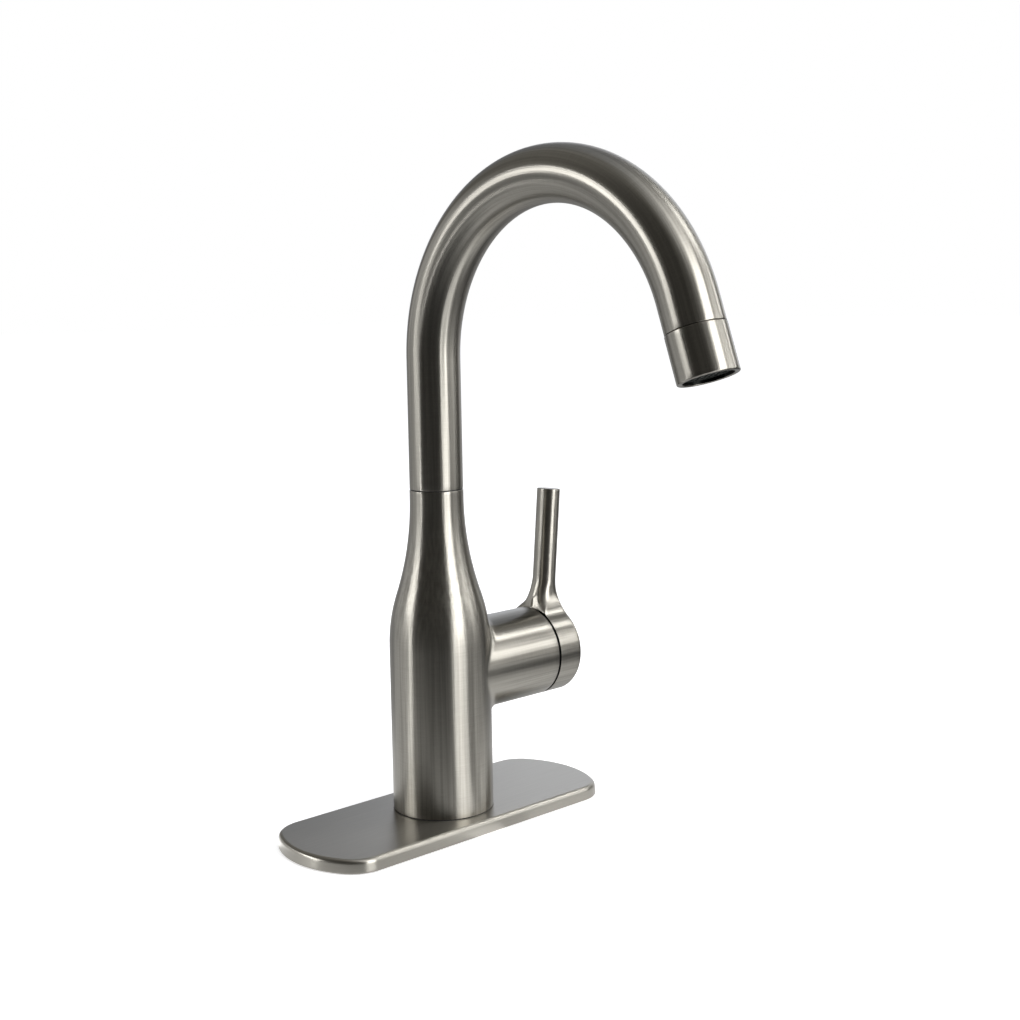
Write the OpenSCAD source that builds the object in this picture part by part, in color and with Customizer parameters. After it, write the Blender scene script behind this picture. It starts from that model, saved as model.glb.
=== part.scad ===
// Gooseneck bar faucet with a side lever, a swivelling spout and a deck plate.
// Origin: centre of the deck plate's underside. +Z is up, the spout points to -Y,
// and the valve housing with its lever points to +X. Millimetres throughout.

/* [Deck plate] */
// Length of the deck plate
plate_l = 179; // [160:1:260]
// Width of the deck plate
plate_w = 68; // [62:1:84]
// Height of the plate's top face above the deck
plate_top = 6.9; // [5.5:0.1:12]
// Radius of the plate's bowed ends
plate_end_r = 49; // [44:1:80]
// Radius of the plate's corners
plate_corner_r = 18; // [12:1:24]
// Rounding of the plate's top edge
plate_edge_r = 2.2; // [0.6:0.1:3]
// Sheet thickness of the plate
plate_t = 1.2; // [0.8:0.1:2]
// Gap between the plate's skirt and the deck
plate_lift = 0.5; // [0.2:0.1:0.9]
// Thickness of the gasket under the plate
gasket_t = 1.2; // [1:0.1:2]
// Diameter of the passage for the hoses and the stud
deck_hole_d = 36; // [33:0.5:40]

/* [Body] */
// Diameter of the body at its foot
body_d = 50; // [48:0.5:56]
// Wall of the body round its main hollow
body_wall = 3.6; // [2.5:0.1:4.5]
// Thickness of the dark ring under the body
foot_ring_t = 0.4; // [0.2:0.1:1.5]
// Height above the deck at which the shoulder starts
shoulder_z = 89; // [86:1:110]
// Length of the shoulder, from full width to the neck
shoulder_l = 73; // [60:1:100]
// Share of the shoulder's bend that is in its lower, outward arc
shoulder_share = 0.353; // [0.25:0.01:0.6]
// Straight length of the neck above the shoulder
neck_l = 4.2; // [3:0.1:20]
// Diameter of the neck
neck_d = 26.5; // [26:0.1:30]

/* [Spout] */
// Outer diameter of the spout tube
tube_d = 26.3; // [25:0.1:30]
// Wall of the spout tube
tube_wall = 1.5; // [1:0.1:1.8]
// Width of the dark seam between neck and spout
seam_t = 0.5; // [0.3:0.1:1.5]
// Straight length of the tube above the seam
riser_l = 63.7; // [40:1:120]
// Radius of the gooseneck, at the tube's centre
bend_r = 83.2; // [60:1:110]
// Angle that the gooseneck turns through
bend_a = 161.35; // [120:1:180]
// Straight length of the tube after the bend
tip_l = 12.4; // [8:0.1:40]
// Length of the aerator's collar
collar_l = 20.8; // [18:0.1:30]
// Diameter of the aerator's collar
collar_d = 26.7; // [26.3:0.1:30]
// Gap between the collar and the tube
collar_gap = 0.3; // [0.2:0.1:1]
// Depth of the aerator's face inside the collar
face_depth = 1.6; // [0.5:0.1:3]

/* [Valve housing] */
// Height of the valve axis above the deck
valve_z = 75; // [70:0.5:80]
// Outer diameter of the valve housing and of the hub
housing_d = 45.6; // [44.4:0.2:48]
// Distance from the body's axis to the housing's end
housing_end = 60.8; // [56:0.1:75]
// Depth of the lever's pivot behind the housing's end
pivot_depth = 14.9; // [14.5:0.1:17]
// Width of the dark gap between housing and hub
hub_gap = 1.4; // [1:0.1:2]

/* [Lever] */
// Length of the hub along the valve axis
hub_l = 15.9; // [14.5:0.1:24]
// Rounding of the hub's outer edge
hub_edge_r = 3.2; // [1:0.1:5]
// Diameter of the lever rod
rod_d = 12; // [9:0.1:14]
// Length of the lever from the valve axis to its tip
rod_l = 84; // [60:1:120]
// Outward lean of the lever rod, in degrees
rod_lean = 5.3; // [0:0.1:8]
// Distance from the gap to where the rod's line meets the valve axis
rod_offset = 6.9; // [6:0.1:12]
// Radius of the flare between rod and hub
flare_r = 18; // [12:0.5:24]
// Largest outward tilt of the lever, in degrees
tilt_max = 22; // [15:1:23]

/* [Cartridge] */
// Diameter of the ceramic cartridge
cartridge_d = 35; // [34.4:0.1:35.4]
// Wall of the cartridge's case
case_wall = 3.5; // [3:0.1:3.7]
// Thickness of each ceramic disc
disc_t = 3; // [2.5:0.1:4]
// Thickness of the cartridge's base
base_t = 3.5; // [3:0.1:5]
// Distance from the pivot to the ball at the stem's end
ball_arm = 8.5; // [8:0.1:9]
// Radius of that ball
ball_r = 2.4; // [2.1:0.1:2.5]
// Side of the stem's square end
stem_square = 6.4; // [5.5:0.1:7]
// Diameter of the stem's round shaft
stem_d = 6.8; // [6:0.1:7.2]
// Diameter of the pivot pin
pin_d = 3; // [2.4:0.1:3.4]
// Radius of each water port
port_r = 2.6; // [2:0.1:2.8]

/* [Inlets] */
// Bore of the threaded hose inlets (M10 x 1)
inlet_bore_d = 8.92; // [8.5:0.01:11]
// Depth of the threaded hose inlets
inlet_depth = 8; // [6:0.5:10]
// Bore of the threaded hole for the mounting stud (M8)
stud_bore_d = 6.65; // [5:0.01:8.6]
// Height of the block that closes the body's foot
foot_block_h = 12; // [11:0.5:20]
// Outer diameter of the inlet tubes
supply_d = 8; // [7:0.1:8.5]
// Wall of the inlet tubes
supply_wall = 1; // [0.6:0.1:1.4]
// Distance of the inlet tubes from the body's axis, along X
supply_x = 6; // [5:0.1:7]
// Distance of the inlet tubes from the body's axis, along Y
supply_y = 8; // [7.5:0.1:9]
// Outer diameter of the tube from the valve to the spout
outlet_d = 12; // [10:0.1:12.4]

/* [Clearances] */
// Radial clearance of a shaft or pin that turns
run_gap = 0.05; // [0.03:0.01:0.1]
// Clearance between moving pieces that aren't a bearing
free_gap = 0.3; // [0.2:0.05:0.4]
// Radial clearance of fixed pieces that slip into each other
slip_gap = 0.2; // [0.1:0.05:0.3]

/* [Hidden] */
$fn = 96;
cut = 1; // how far a cutting solid runs past the face it opens
tip_lap = 1; // how far the sized tip of the tube reaches back over its bend
tip_swell = 0.03; // how much wider, in radius, the sized tip is
nickel = "#8f8a84";
brass = "#b8975a";
black = "#1b1a19";

// Deck plate outline
plate_inset = plate_t + plate_edge_r / 2;
arc_steps = 8;
round_steps = 4;
end_x = plate_l / 2 - plate_end_r;
corner_y = plate_w / 2 - plate_corner_r;
corner_x = end_x + sqrt(pow(plate_end_r - plate_corner_r, 2) - pow(corner_y, 2));
end_a = atan2(corner_y, corner_x - end_x);

// Heights along the body
foot_z = plate_top + foot_ring_t;
neck_top = shoulder_z + shoulder_l + neck_l;
tube_z = neck_top + seam_t;
bend_z = tube_z + riser_l;
body_r = body_d / 2;
neck_r = neck_d / 2;
cavity_r = body_r - body_wall;
foot_ring_inset = 0.4;

// Shoulder: two arcs that meet with one tangent, turned through shoulder_a
shoulder_drop = body_r - neck_r;
shoulder_a = 2 * atan2(shoulder_drop, shoulder_l);
shoulder_sum = shoulder_l / sin(shoulder_a);
low_arc_r = shoulder_sum * shoulder_share;
high_arc_r = shoulder_sum - low_arc_r;
shoulder_steps = 14;

// Valve axis: u is measured along it from the lever's pivot
housing_r = housing_d / 2;
pivot_x = housing_end - pivot_depth;
sweep_r = norm([pivot_depth, housing_r]);
recess_r = sweep_r + free_gap;
rim_u = pivot_depth + hub_gap;
hub_end_u = rim_u + hub_l;
boss_r = stem_square / 2 + 3.6;
dome_edge_t = 1.3;
dome_wall = 1.2;
screw_d = 5;
screw_reach = boss_r + 0.7;
plug_t = 2.2;
screw_u = (rim_u + recess_r) / 2;
dome_open_a = tilt_max + asin((boss_r + free_gap) / (sweep_r - dome_edge_t)) + 2;
dome_open_r = sweep_r * sin(dome_open_a);
stem_tip_u = recess_r - 1;

// Cartridge stack, back from the pivot
cartridge_r = cartridge_d / 2;
case_bore_r = cartridge_r - case_wall;
rotor_r = case_bore_r - free_gap;
rotor_back = 5.6;
rotor_front = 5.2;
rotor_neck_r = 9.7;
lip_t = 2.6;
lip_u = rotor_front + slip_gap;
case_top = lip_u + lip_t;
driver_top = rotor_back + free_gap;
driver_t = ball_arm + ball_r + 1.6 - driver_top;
moving_top = driver_top + driver_t;
fixed_top = moving_top + disc_t + run_gap;
base_top = fixed_top + disc_t;
seat_depth = base_top + base_t;
slide_max = ball_arm * sin(tilt_max);
moving_r = case_bore_r - slide_max - 2 * free_gap;
port_y = 5;
port_z = 4.2;
outlet_z = -5;
pocket_r = 4.6;
pocket_z = -4.6;
seal_in = port_r + 0.4;
seal_out = seal_in + 1.4;
seal_t = 1;
stem_neck_r = 1.7;
nut_l = 6;
nut_wall = 2.9;
housing_bore_r = cartridge_r + free_gap;

// Manifold and tubes
seat_x = pivot_x - seat_depth;
manifold_r = housing_bore_r - slip_gap;
supply_r = supply_d / 2;
outlet_r = outlet_d / 2;
socket_depth = 7;
supply_top = valve_z + outlet_z - 4;
supply_base = foot_z + inlet_depth;
outlet_base = valve_z + manifold_r - socket_depth;
cavity_top = valve_z + manifold_r + 1.4;

// Swivel bearing inside the neck
shank_r = neck_r - 3.75;
shank_bore_r = outlet_r + 0.6;
shank_wall_r = shank_r + 2 * run_gap;
sleeve_wall = 1;
sleeve_l = 16;
chamber_r = shank_r + 3;
chamber_z = cavity_top + 18;
throat_z = chamber_z + 6;
shank_base = throat_z - 2.5;
clip_z = throat_z - 1.8;
clip_t = 1.2;
groove_d = 1;
plug_l = 17;
tube_r = tube_d / 2;
tube_bore_r = tube_r - tube_wall;
riser_top = shank_base + 10;
riser_seal_z = riser_top - 5;
oring_t = 2;
oring_step = 8;

// Aerator, measured along the spout's tip from the end of the bend
collar_r = collar_d / 2;
collar_z = tip_l + collar_gap;
mouth_z = collar_z + collar_l;
insert_l = 9;
insert_r = collar_r - 2.35;
flange_t = 1.5;
washer_t = 2;
step_z = mouth_z - insert_l + flange_t;
thread_r = insert_r + 0.9;
adapter_end = step_z - flange_t - washer_t;
screen_t = 1;
screen_r = insert_r - 1;
hole_step = 3;
hole_r = 1.3;

function arc(r, c, a0, a1, n) =
    [for (i = [0:n]) let (a = a0 + (a1 - a0) * i / n) [c[0] + r * cos(a), c[1] + r * sin(a)]];

// Outline of the deck plate, drawn in by i on all sides
function plate_quarter(i) = concat(
    arc(plate_end_r - i, [end_x, 0], 0, end_a, arc_steps),
    arc(plate_corner_r - i, [corner_x, corner_y], end_a, 90, arc_steps));
function turned(p, sx, sy) = [for (q = p) [q[0] * sx, q[1] * sy]];
function flipped(p) = [for (i = [len(p) - 1:-1:0]) p[i]];

module plate_outline(i = 0) {
    q = plate_quarter(i);
    polygon(concat(q, flipped(turned(q, -1, 1)), turned(q, -1, -1), flipped(turned(q, 1, -1))));
}

module plate_layer(z, h, i = 0) {
    translate([0, 0, z]) linear_extrude(h) plate_outline(i);
}

module plate_solid() {
    side = plate_top - plate_edge_r - plate_lift;
    hull() for (k = [0:round_steps]) {
        a = 90 * k / round_steps;
        plate_layer(plate_lift, side + plate_edge_r * sin(a), plate_edge_r * (1 - cos(a)));
    }
}

module deck_hole() {
    translate([0, 0, -cut]) cylinder(d = deck_hole_d, h = plate_top + 2 * cut);
}

// Places children with +Z along the valve axis, starting at u from the pivot
module on_valve(u = 0) {
    translate([pivot_x + u, 0, valve_z]) rotate([0, 90, 0]) children();
}

// A ring on the valve axis from u0 to u1
module valve_ring(u0, u1, r, bore) {
    on_valve(u0) difference() {
        cylinder(r = r, h = u1 - u0);
        translate([0, 0, -cut]) cylinder(r = bore, h = u1 - u0 + 2 * cut);
    }
}

// A straight bore along the valve axis, off it by y and z
module valve_bore(u0, u1, r, y = 0, z = 0) {
    translate([pivot_x + u0, y, valve_z + z]) rotate([0, 90, 0]) cylinder(r = r, h = u1 - u0);
}

module all_ports(u0, u1, r) {
    valve_bore(u0, u1, r, port_y, port_z);
    valve_bore(u0, u1, r, -port_y, port_z);
    valve_bore(u0, u1, r, 0, outlet_z);
}

module upright_tube(x, y, z0, z1, r, bore) {
    translate([x, y, z0]) difference() {
        cylinder(r = r, h = z1 - z0);
        translate([0, 0, -cut]) cylinder(r = bore, h = z1 - z0 + 2 * cut);
    }
}

// Places children at the end of the bend, with +Z along the spout's tip
module at_tip() {
    translate([0, -bend_r, bend_z]) rotate([bend_a, 0, 0]) translate([0, bend_r, 0]) children();
}

module tip_ring(z0, z1, r, bore) {
    at_tip() upright_tube(0, 0, z0, z1, r, bore);
}

// The whole run of the spout tube, as a solid of radius r
module tube_run(r, extra = 0) {
    translate([0, 0, tube_z - extra]) cylinder(r = r, h = riser_l + extra);
    translate([0, -bend_r, bend_z]) rotate([90, 0, 90])
        rotate_extrude(angle = bend_a) translate([bend_r, 0]) circle(r = r);
    at_tip() translate([0, 0, -tip_lap]) cylinder(r = r + tip_swell, h = tip_lap + tip_l + extra);
}

// Outer shape of the body: foot, two shoulder arcs and neck, turned about Z
module body_profile() {
    low = arc(low_arc_r, [body_r - low_arc_r, shoulder_z], 0, shoulder_a, shoulder_steps);
    high = arc(high_arc_r, [neck_r + high_arc_r, shoulder_z + shoulder_l],
        180 + shoulder_a, 180, shoulder_steps);
    polygon(concat([[0, foot_z], [body_r, foot_z]], low, high, [[neck_r, neck_top], [0, neck_top]]));
}

// --- Deck plate -------------------------------------------------------------

module deck_gasket() {
    color(black) difference() {
        plate_layer(0, gasket_t, plate_inset + slip_gap);
        deck_hole();
    }
}

module deck_plate_base() {
    color("#4a4a4c") difference() {
        plate_layer(gasket_t, plate_top - plate_t - gasket_t, plate_inset + slip_gap);
        deck_hole();
    }
}

module deck_plate() {
    color(nickel) difference() {
        plate_solid();
        plate_layer(-cut, plate_top - plate_t + cut, plate_inset);
        deck_hole();
    }
}

// --- Body -------------------------------------------------------------------

module body_foot_ring() {
    color(black) upright_tube(0, 0, plate_top, foot_z, body_r - foot_ring_inset, cavity_r);
}

module faucet_body() {
    color(nickel) difference() {
        union() {
            rotate_extrude() body_profile();
            valve_bore(-pivot_x, pivot_depth, housing_r);
        }
        translate([0, 0, foot_z - cut]) cylinder(r = cavity_r, h = cavity_top - foot_z + cut);
        translate([0, 0, cavity_top])
            cylinder(r1 = cavity_r, r2 = chamber_r, h = chamber_z - cavity_top);
        translate([0, 0, chamber_z - cut]) cylinder(r = chamber_r, h = throat_z - chamber_z + cut);
        translate([0, 0, throat_z - cut]) cylinder(r = shank_wall_r, h = neck_top - throat_z + 2 * cut);
        translate([0, 0, neck_top - sleeve_l])
            cylinder(r = shank_wall_r + sleeve_wall, h = sleeve_l + cut);
        valve_bore(-pivot_x, pivot_depth + cut, housing_bore_r);
    }
}

module foot_block() {
    color(brass) difference() {
        translate([0, 0, foot_z]) cylinder(r = cavity_r - slip_gap, h = foot_block_h);
        for (s = [-1, 1]) {
            translate([supply_x, s * supply_y, foot_z - cut])
                cylinder(d = inlet_bore_d, h = inlet_depth + cut);
            translate([supply_x, s * supply_y, foot_z])
                cylinder(r = supply_r + run_gap, h = foot_block_h + cut);
        }
        translate([-supply_x - 2, 0, foot_z - cut])
            cylinder(d = stud_bore_d, h = foot_block_h + 2 * cut);
    }
}

module inlet_tube(side) {
    upright_tube(supply_x, side * supply_y, supply_base, supply_top, supply_r,
        supply_r - supply_wall);
}

module hot_inlet_tube() {
    color("#c08a5c") inlet_tube(1);
}

module cold_inlet_tube() {
    color("#c08a5c") inlet_tube(-1);
}

module valve_manifold() {
    color(brass) difference() {
        intersection() {
            valve_bore(-pivot_x - cavity_r, -seat_depth, manifold_r);
            union() {
                translate([0, 0, valve_z - manifold_r - cut])
                    cylinder(r = cavity_r - slip_gap, h = 2 * (manifold_r + cut));
                translate([0, -body_r, valve_z - body_r]) cube([seat_x + cut, body_d, body_d]);
            }
        }
        for (s = [-1, 1]) {
            translate([supply_x, s * supply_y, valve_z - body_r])
                cylinder(r = supply_r + run_gap, h = supply_top - valve_z + body_r);
            translate([supply_x, s * supply_y, supply_top - cut])
                cylinder(r = supply_r - supply_wall, h = valve_z + port_z - supply_top + cut);
            valve_bore(supply_x - pivot_x, cut - seat_depth, port_r, s * port_y, port_z);
        }
        valve_bore(-pivot_x, cut - seat_depth, port_r, 0, outlet_z);
        translate([0, 0, valve_z + outlet_z]) cylinder(r = outlet_r - 2, h = 2 * body_r);
        translate([0, 0, outlet_base]) cylinder(r = outlet_r + run_gap, h = body_r);
    }
}

module outlet_riser() {
    color("#c08a5c") difference() {
        upright_tube(0, 0, outlet_base, riser_top, outlet_r, outlet_r - 2);
        upright_tube(0, 0, riser_seal_z, riser_seal_z + oring_t, outlet_r + cut, outlet_r - groove_d);
    }
}

module riser_seal() {
    color(black) upright_tube(0, 0, riser_seal_z + run_gap, riser_seal_z + oring_t - run_gap,
        shank_bore_r - 2 * run_gap, outlet_r - groove_d + run_gap);
}

// --- Spout bearing ----------------------------------------------------------

module spout_bearing_sleeve() {
    color("#e6e2d6") upright_tube(0, 0, neck_top - sleeve_l, neck_top,
        shank_wall_r + sleeve_wall - run_gap, shank_r + run_gap);
}

module spout_washer() {
    color(black) upright_tube(0, 0, neck_top, tube_z - run_gap, neck_r - foot_ring_inset,
        shank_r + free_gap);
}

module spout_shank() {
    color(brass) difference() {
        union() {
            translate([0, 0, shank_base]) cylinder(r = shank_r, h = tube_z - shank_base);
            translate([0, 0, tube_z]) cylinder(r = tube_bore_r - run_gap, h = plug_l);
        }
        translate([0, 0, shank_base - cut])
            cylinder(r = shank_bore_r, h = tube_z + plug_l - shank_base + 2 * cut);
        for (k = [0, 1]) translate([0, 0, throat_z + 6 + k * oring_step]) ring_groove(oring_t);
        translate([0, 0, clip_z]) ring_groove(clip_t + 2 * run_gap);
    }
}

module ring_groove(h) {
    difference() {
        cylinder(r = shank_r + cut, h = h);
        cylinder(r = shank_r - groove_d, h = h);
    }
}

module spout_o_rings() {
    color(black) for (k = [0, 1]) {
        z = throat_z + 6 + k * oring_step;
        upright_tube(0, 0, z + run_gap, z + oring_t - run_gap, shank_r, shank_r - groove_d + run_gap);
    }
}

// A split ring that keeps the shank from lifting out of the neck
module spout_retaining_ring() {
    color("#9a9da0") translate([0, 0, clip_z + run_gap]) rotate([0, 0, 15]) rotate_extrude(angle = 330)
        translate([shank_r - groove_d + run_gap, 0])
            square([chamber_r - free_gap - shank_r + groove_d - run_gap, clip_t]);
}

module spout_tube() {
    color(nickel) difference() {
        tube_run(tube_r);
        tube_run(tube_bore_r, cut);
    }
}

// --- Aerator ----------------------------------------------------------------

module spout_outlet_adapter() {
    color(brass) at_tip() difference() {
        union() {
            cylinder(r = tube_bore_r - run_gap, h = adapter_end);
            translate([0, 0, collar_z]) cylinder(r = thread_r - run_gap, h = adapter_end - collar_z);
        }
        translate([0, 0, -cut]) cylinder(r = insert_r - 2, h = adapter_end + 2 * cut);
    }
}

module aerator_washer() {
    color(black) tip_ring(adapter_end, adapter_end + washer_t, thread_r - run_gap, insert_r - 2);
}

module aerator_insert() {
    color("#3a3a3c") at_tip() difference() {
        union() {
            translate([0, 0, step_z - flange_t]) cylinder(r = thread_r - run_gap, h = flange_t);
            translate([0, 0, step_z - flange_t])
                cylinder(r = insert_r - run_gap, h = mouth_z - face_depth - step_z + flange_t);
        }
        translate([0, 0, step_z - flange_t - cut]) cylinder(r = insert_r - 3, h = insert_l + 2 * cut);
        translate([0, 0, mouth_z - face_depth - screen_t])
            cylinder(r = screen_r + run_gap, h = screen_t + cut);
    }
}

module aerator_screen() {
    color("#8a8a8a") at_tip() translate([0, 0, mouth_z - face_depth - screen_t]) difference() {
        cylinder(r = screen_r, h = screen_t);
        for (i = [-3:3], j = [-3:3]) {
            x = hole_step * (i + j / 2);
            y = hole_step * j * sin(60);
            if (norm([x, y]) < screen_r - hole_r)
                translate([x, y, -cut]) cylinder(r = hole_r, h = screen_t + 2 * cut, $fn = 6);
        }
    }
}

module aerator_housing() {
    color(nickel) at_tip() difference() {
        translate([0, 0, collar_z]) cylinder(r = collar_r, h = collar_l);
        translate([0, 0, collar_z - cut]) cylinder(r = thread_r, h = step_z - collar_z + cut);
        translate([0, 0, step_z - cut]) cylinder(r = insert_r, h = mouth_z - step_z + 2 * cut);
    }
}

// --- Cartridge --------------------------------------------------------------

module cartridge_seals() {
    color(black) for (p = [[port_y, port_z], [-port_y, port_z], [0, outlet_z]])
        translate([seat_x, p[0], valve_z + p[1]]) rotate([0, 90, 0])
            upright_tube(0, 0, 0, seal_t - run_gap, seal_out - run_gap, seal_in + run_gap);
}

module cartridge_base() {
    color("#e6e2d6") difference() {
        valve_bore(-seat_depth, -base_top, cartridge_r);
        all_ports(-seat_depth - cut, cut - base_top, port_r);
        difference() {
            all_ports(-seat_depth - cut, seal_t - seat_depth, seal_out);
            all_ports(-seat_depth - 2 * cut, seal_t + cut - seat_depth, seal_in);
        }
    }
}

module fixed_disc() {
    color("#f0efea") difference() {
        valve_bore(-base_top, -fixed_top, case_bore_r - slip_gap);
        all_ports(-base_top - cut, cut - fixed_top, port_r);
    }
}

module cartridge_case() {
    color("#d9d5c8") difference() {
        valve_bore(-base_top, case_top, cartridge_r);
        valve_bore(-base_top - cut, lip_u, case_bore_r);
        valve_bore(0, case_top + cut, rotor_neck_r + free_gap);
    }
}

module bonnet_nut() {
    color(brass) valve_ring(case_top, case_top + nut_l, cartridge_r, cartridge_r - nut_wall);
}

// Domed cover between nut and hub; its outside is a sphere about the pivot
module bonnet_dome() {
    color(black) difference() {
        union() {
            intersection() {
                on_valve() sphere(r = sweep_r);
                valve_bore(rim_u, sweep_r, housing_r);
            }
            valve_bore(case_top + nut_l, rim_u + dome_wall, cartridge_r);
        }
        valve_bore(rim_u + dome_wall, sweep_r + cut, dome_open_r);
        valve_bore(case_top, rim_u + dome_wall + cut / 2, cartridge_r - dome_wall);
    }
}

module trim_ring() {
    color(black) intersection() {
        on_valve() sphere(r = sweep_r);
        valve_ring(pivot_depth, rim_u, housing_r, housing_bore_r);
    }
}

// Rotor that turns in the case; the stem tilts in its slot
module stem_carrier() {
    color("#3a3a3c") difference() {
        union() {
            valve_bore(-rotor_back, rotor_front, rotor_r);
            valve_bore(rotor_front - cut, case_top + slip_gap, rotor_neck_r);
        }
        translate([pivot_x - rotor_back - cut, -stem_d / 2 - free_gap, valve_z - 8.2])
            cube([rotor_back + case_top + 3 * cut, stem_d + 2 * free_gap, 15]);
        pin_bore(pin_d / 2 + run_gap / 2);
    }
}

module pin_bore(r) {
    translate([pivot_x, -rotor_r - cut, valve_z]) rotate([-90, 0, 0])
        cylinder(r = r, h = 2 * (rotor_r + cut));
}

module stem_pin() {
    color("#9a9da0") translate([pivot_x, 0.6 - rotor_r, valve_z]) rotate([-90, 0, 0])
        cylinder(d = pin_d, h = 2 * (rotor_r - 0.6));
}

module moving_disc() {
    color("#f0efea") difference() {
        valve_bore(-fixed_top + run_gap, -moving_top, moving_r);
        valve_bore(-fixed_top - cut, 1.6 - fixed_top, pocket_r, 0, pocket_z);
    }
}

// Slides across the case, driven by the ball at the stem's end
module disc_driver() {
    socket = 2 * (ball_r + free_gap);
    color("#d9d5c8") difference() {
        valve_bore(-moving_top, -driver_top, moving_r);
        translate([pivot_x - moving_top + 1, -socket / 2, valve_z - socket / 2])
            cube([driver_t, socket, socket]);
    }
}

// --- Lever ------------------------------------------------------------------

module lever_stem() {
    color("#9a9da0") difference() {
        union() {
            on_valve(-ball_arm) sphere(r = ball_r);
            valve_bore(-ball_arm, 0, stem_neck_r);
            valve_bore(1 - rotor_back, rotor_front + 4, stem_d / 2);
            translate([pivot_x + rotor_front + 3, -stem_square / 2, valve_z - stem_square / 2])
                cube([stem_tip_u - rotor_front - 3, stem_square, stem_square]);
        }
        pin_bore(pin_d / 2 + run_gap);
    }
}

// Hub outline: a cylinder with its outer edge rounded
module hub_profile() {
    square([housing_r, hub_l - hub_edge_r]);
    square([housing_r - hub_edge_r, hub_l]);
    translate([housing_r - hub_edge_r, hub_l - hub_edge_r]) circle(r = hub_edge_r);
}

// Rod with a flare at its foot, about its own axis
module rod_profile() {
    rod_r = rod_d / 2;
    flare_x = rod_r + flare_r;
    flare_z = sqrt(pow(housing_r + flare_r - 0.4, 2) - pow(flare_x, 2));
    edge = 0.5;
    translate([0, housing_r - 4]) square([rod_r, rod_l - edge - housing_r + 4]);
    translate([0, rod_l - cut]) square([rod_r - edge, cut]);
    difference() {
        translate([0, flare_z - 0.8 * flare_r]) square([0.4 * flare_r + rod_r, 0.8 * flare_r]);
        translate([flare_x, flare_z]) circle(r = flare_r);
    }
}

module lever_rod() {
    translate([pivot_x + rim_u + rod_offset, 0, valve_z]) rotate([0, rod_lean, 0])
        rotate_extrude() rod_profile();
}

module lever_handle() {
    color(nickel) difference() {
        union() {
            on_valve(rim_u) rotate_extrude() hub_profile();
            intersection() {
                lever_rod();
                translate([pivot_x + rim_u, -housing_r, valve_z])
                    cube([hub_l - 0.6, housing_d, rod_l + cut]);
            }
        }
        difference() {
            on_valve() sphere(r = recess_r);
            valve_bore(rim_u - cut, recess_r + cut, boss_r);
        }
        translate([pivot_x + rim_u - cut, -stem_square / 2 - run_gap, valve_z - stem_square / 2 - run_gap])
            cube([stem_tip_u + slip_gap - rim_u + cut, stem_square + 2 * run_gap,
                stem_square + 2 * run_gap]);
        screw_bore(screw_d / 2 + run_gap, stem_square / 2, boss_r + cut);
        screw_bore(screw_d / 2 + 0.5, boss_r + 2, housing_r + cut);
    }
}

// A bore across the hub's underside, from depth r0 out to r1
module screw_bore(r, r0, r1) {
    translate([pivot_x + screw_u, 0, valve_z - r1]) cylinder(r = r, h = r1 - r0);
}

module handle_set_screw() {
    color("#5a5c5e") difference() {
        screw_bore(screw_d / 2, stem_square / 2 + run_gap, screw_reach);
        translate([pivot_x + screw_u, 0, valve_z - screw_reach - cut])
            cylinder(d = 2.9, h = 2 + cut, $fn = 6);
    }
}

module set_screw_plug() {
    color(nickel) screw_bore(screw_d / 2 + 0.5 - run_gap, housing_r - slip_gap - plug_t,
        housing_r - slip_gap);
}

deck_gasket();
deck_plate_base();
deck_plate();
body_foot_ring();
faucet_body();
foot_block();
hot_inlet_tube();
cold_inlet_tube();
valve_manifold();
outlet_riser();
riser_seal();
spout_bearing_sleeve();
spout_washer();
cartridge_seals();
cartridge_base();
fixed_disc();
cartridge_case();
bonnet_nut();
bonnet_dome();
trim_ring();
spout_shank();
spout_o_rings();
spout_retaining_ring();
spout_tube();
spout_outlet_adapter();
aerator_washer();
aerator_insert();
aerator_screen();
aerator_housing();
stem_carrier();
stem_pin();
moving_disc();
disc_driver();
lever_stem();
lever_handle();
handle_set_screw();
set_screw_plug();
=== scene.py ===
"""Finished surfaces, materials and studio for a gooseneck bar faucet.

The packed solids are the frame. Every shape below sits in that frame, in metres:
+Z up, the spout towards -Y, the valve and its lever towards +X.
"""

import math

import bmesh
import bpy
import numpy as np
from bpy.props import FloatProperty, FloatVectorProperty, PointerProperty
from mathutils import Matrix, Vector


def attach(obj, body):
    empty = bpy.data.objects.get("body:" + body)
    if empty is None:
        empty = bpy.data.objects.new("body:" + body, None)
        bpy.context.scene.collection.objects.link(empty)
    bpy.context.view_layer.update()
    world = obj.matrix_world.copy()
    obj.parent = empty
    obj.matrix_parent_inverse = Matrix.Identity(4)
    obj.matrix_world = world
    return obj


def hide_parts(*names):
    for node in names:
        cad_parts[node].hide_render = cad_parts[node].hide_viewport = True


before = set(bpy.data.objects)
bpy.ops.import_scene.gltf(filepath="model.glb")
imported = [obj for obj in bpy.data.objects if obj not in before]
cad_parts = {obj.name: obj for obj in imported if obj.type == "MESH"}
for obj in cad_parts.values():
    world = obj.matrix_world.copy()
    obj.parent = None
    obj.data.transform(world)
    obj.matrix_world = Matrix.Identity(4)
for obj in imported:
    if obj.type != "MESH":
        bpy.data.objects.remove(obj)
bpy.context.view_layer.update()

bl_info = {
    "name": "Gooseneck bar faucet",
    "version": (1, 0, 0),
    "blender": (4, 5, 0),
    "location": "3D View > Sidebar > Faucet",
    "description": "Finished surfaces, materials and studio of a gooseneck bar faucet",
    "category": "Add Mesh",
}

MM = 0.001
TURN = 2 * math.pi


# ---------------------------------------------------------------- settings


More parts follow.
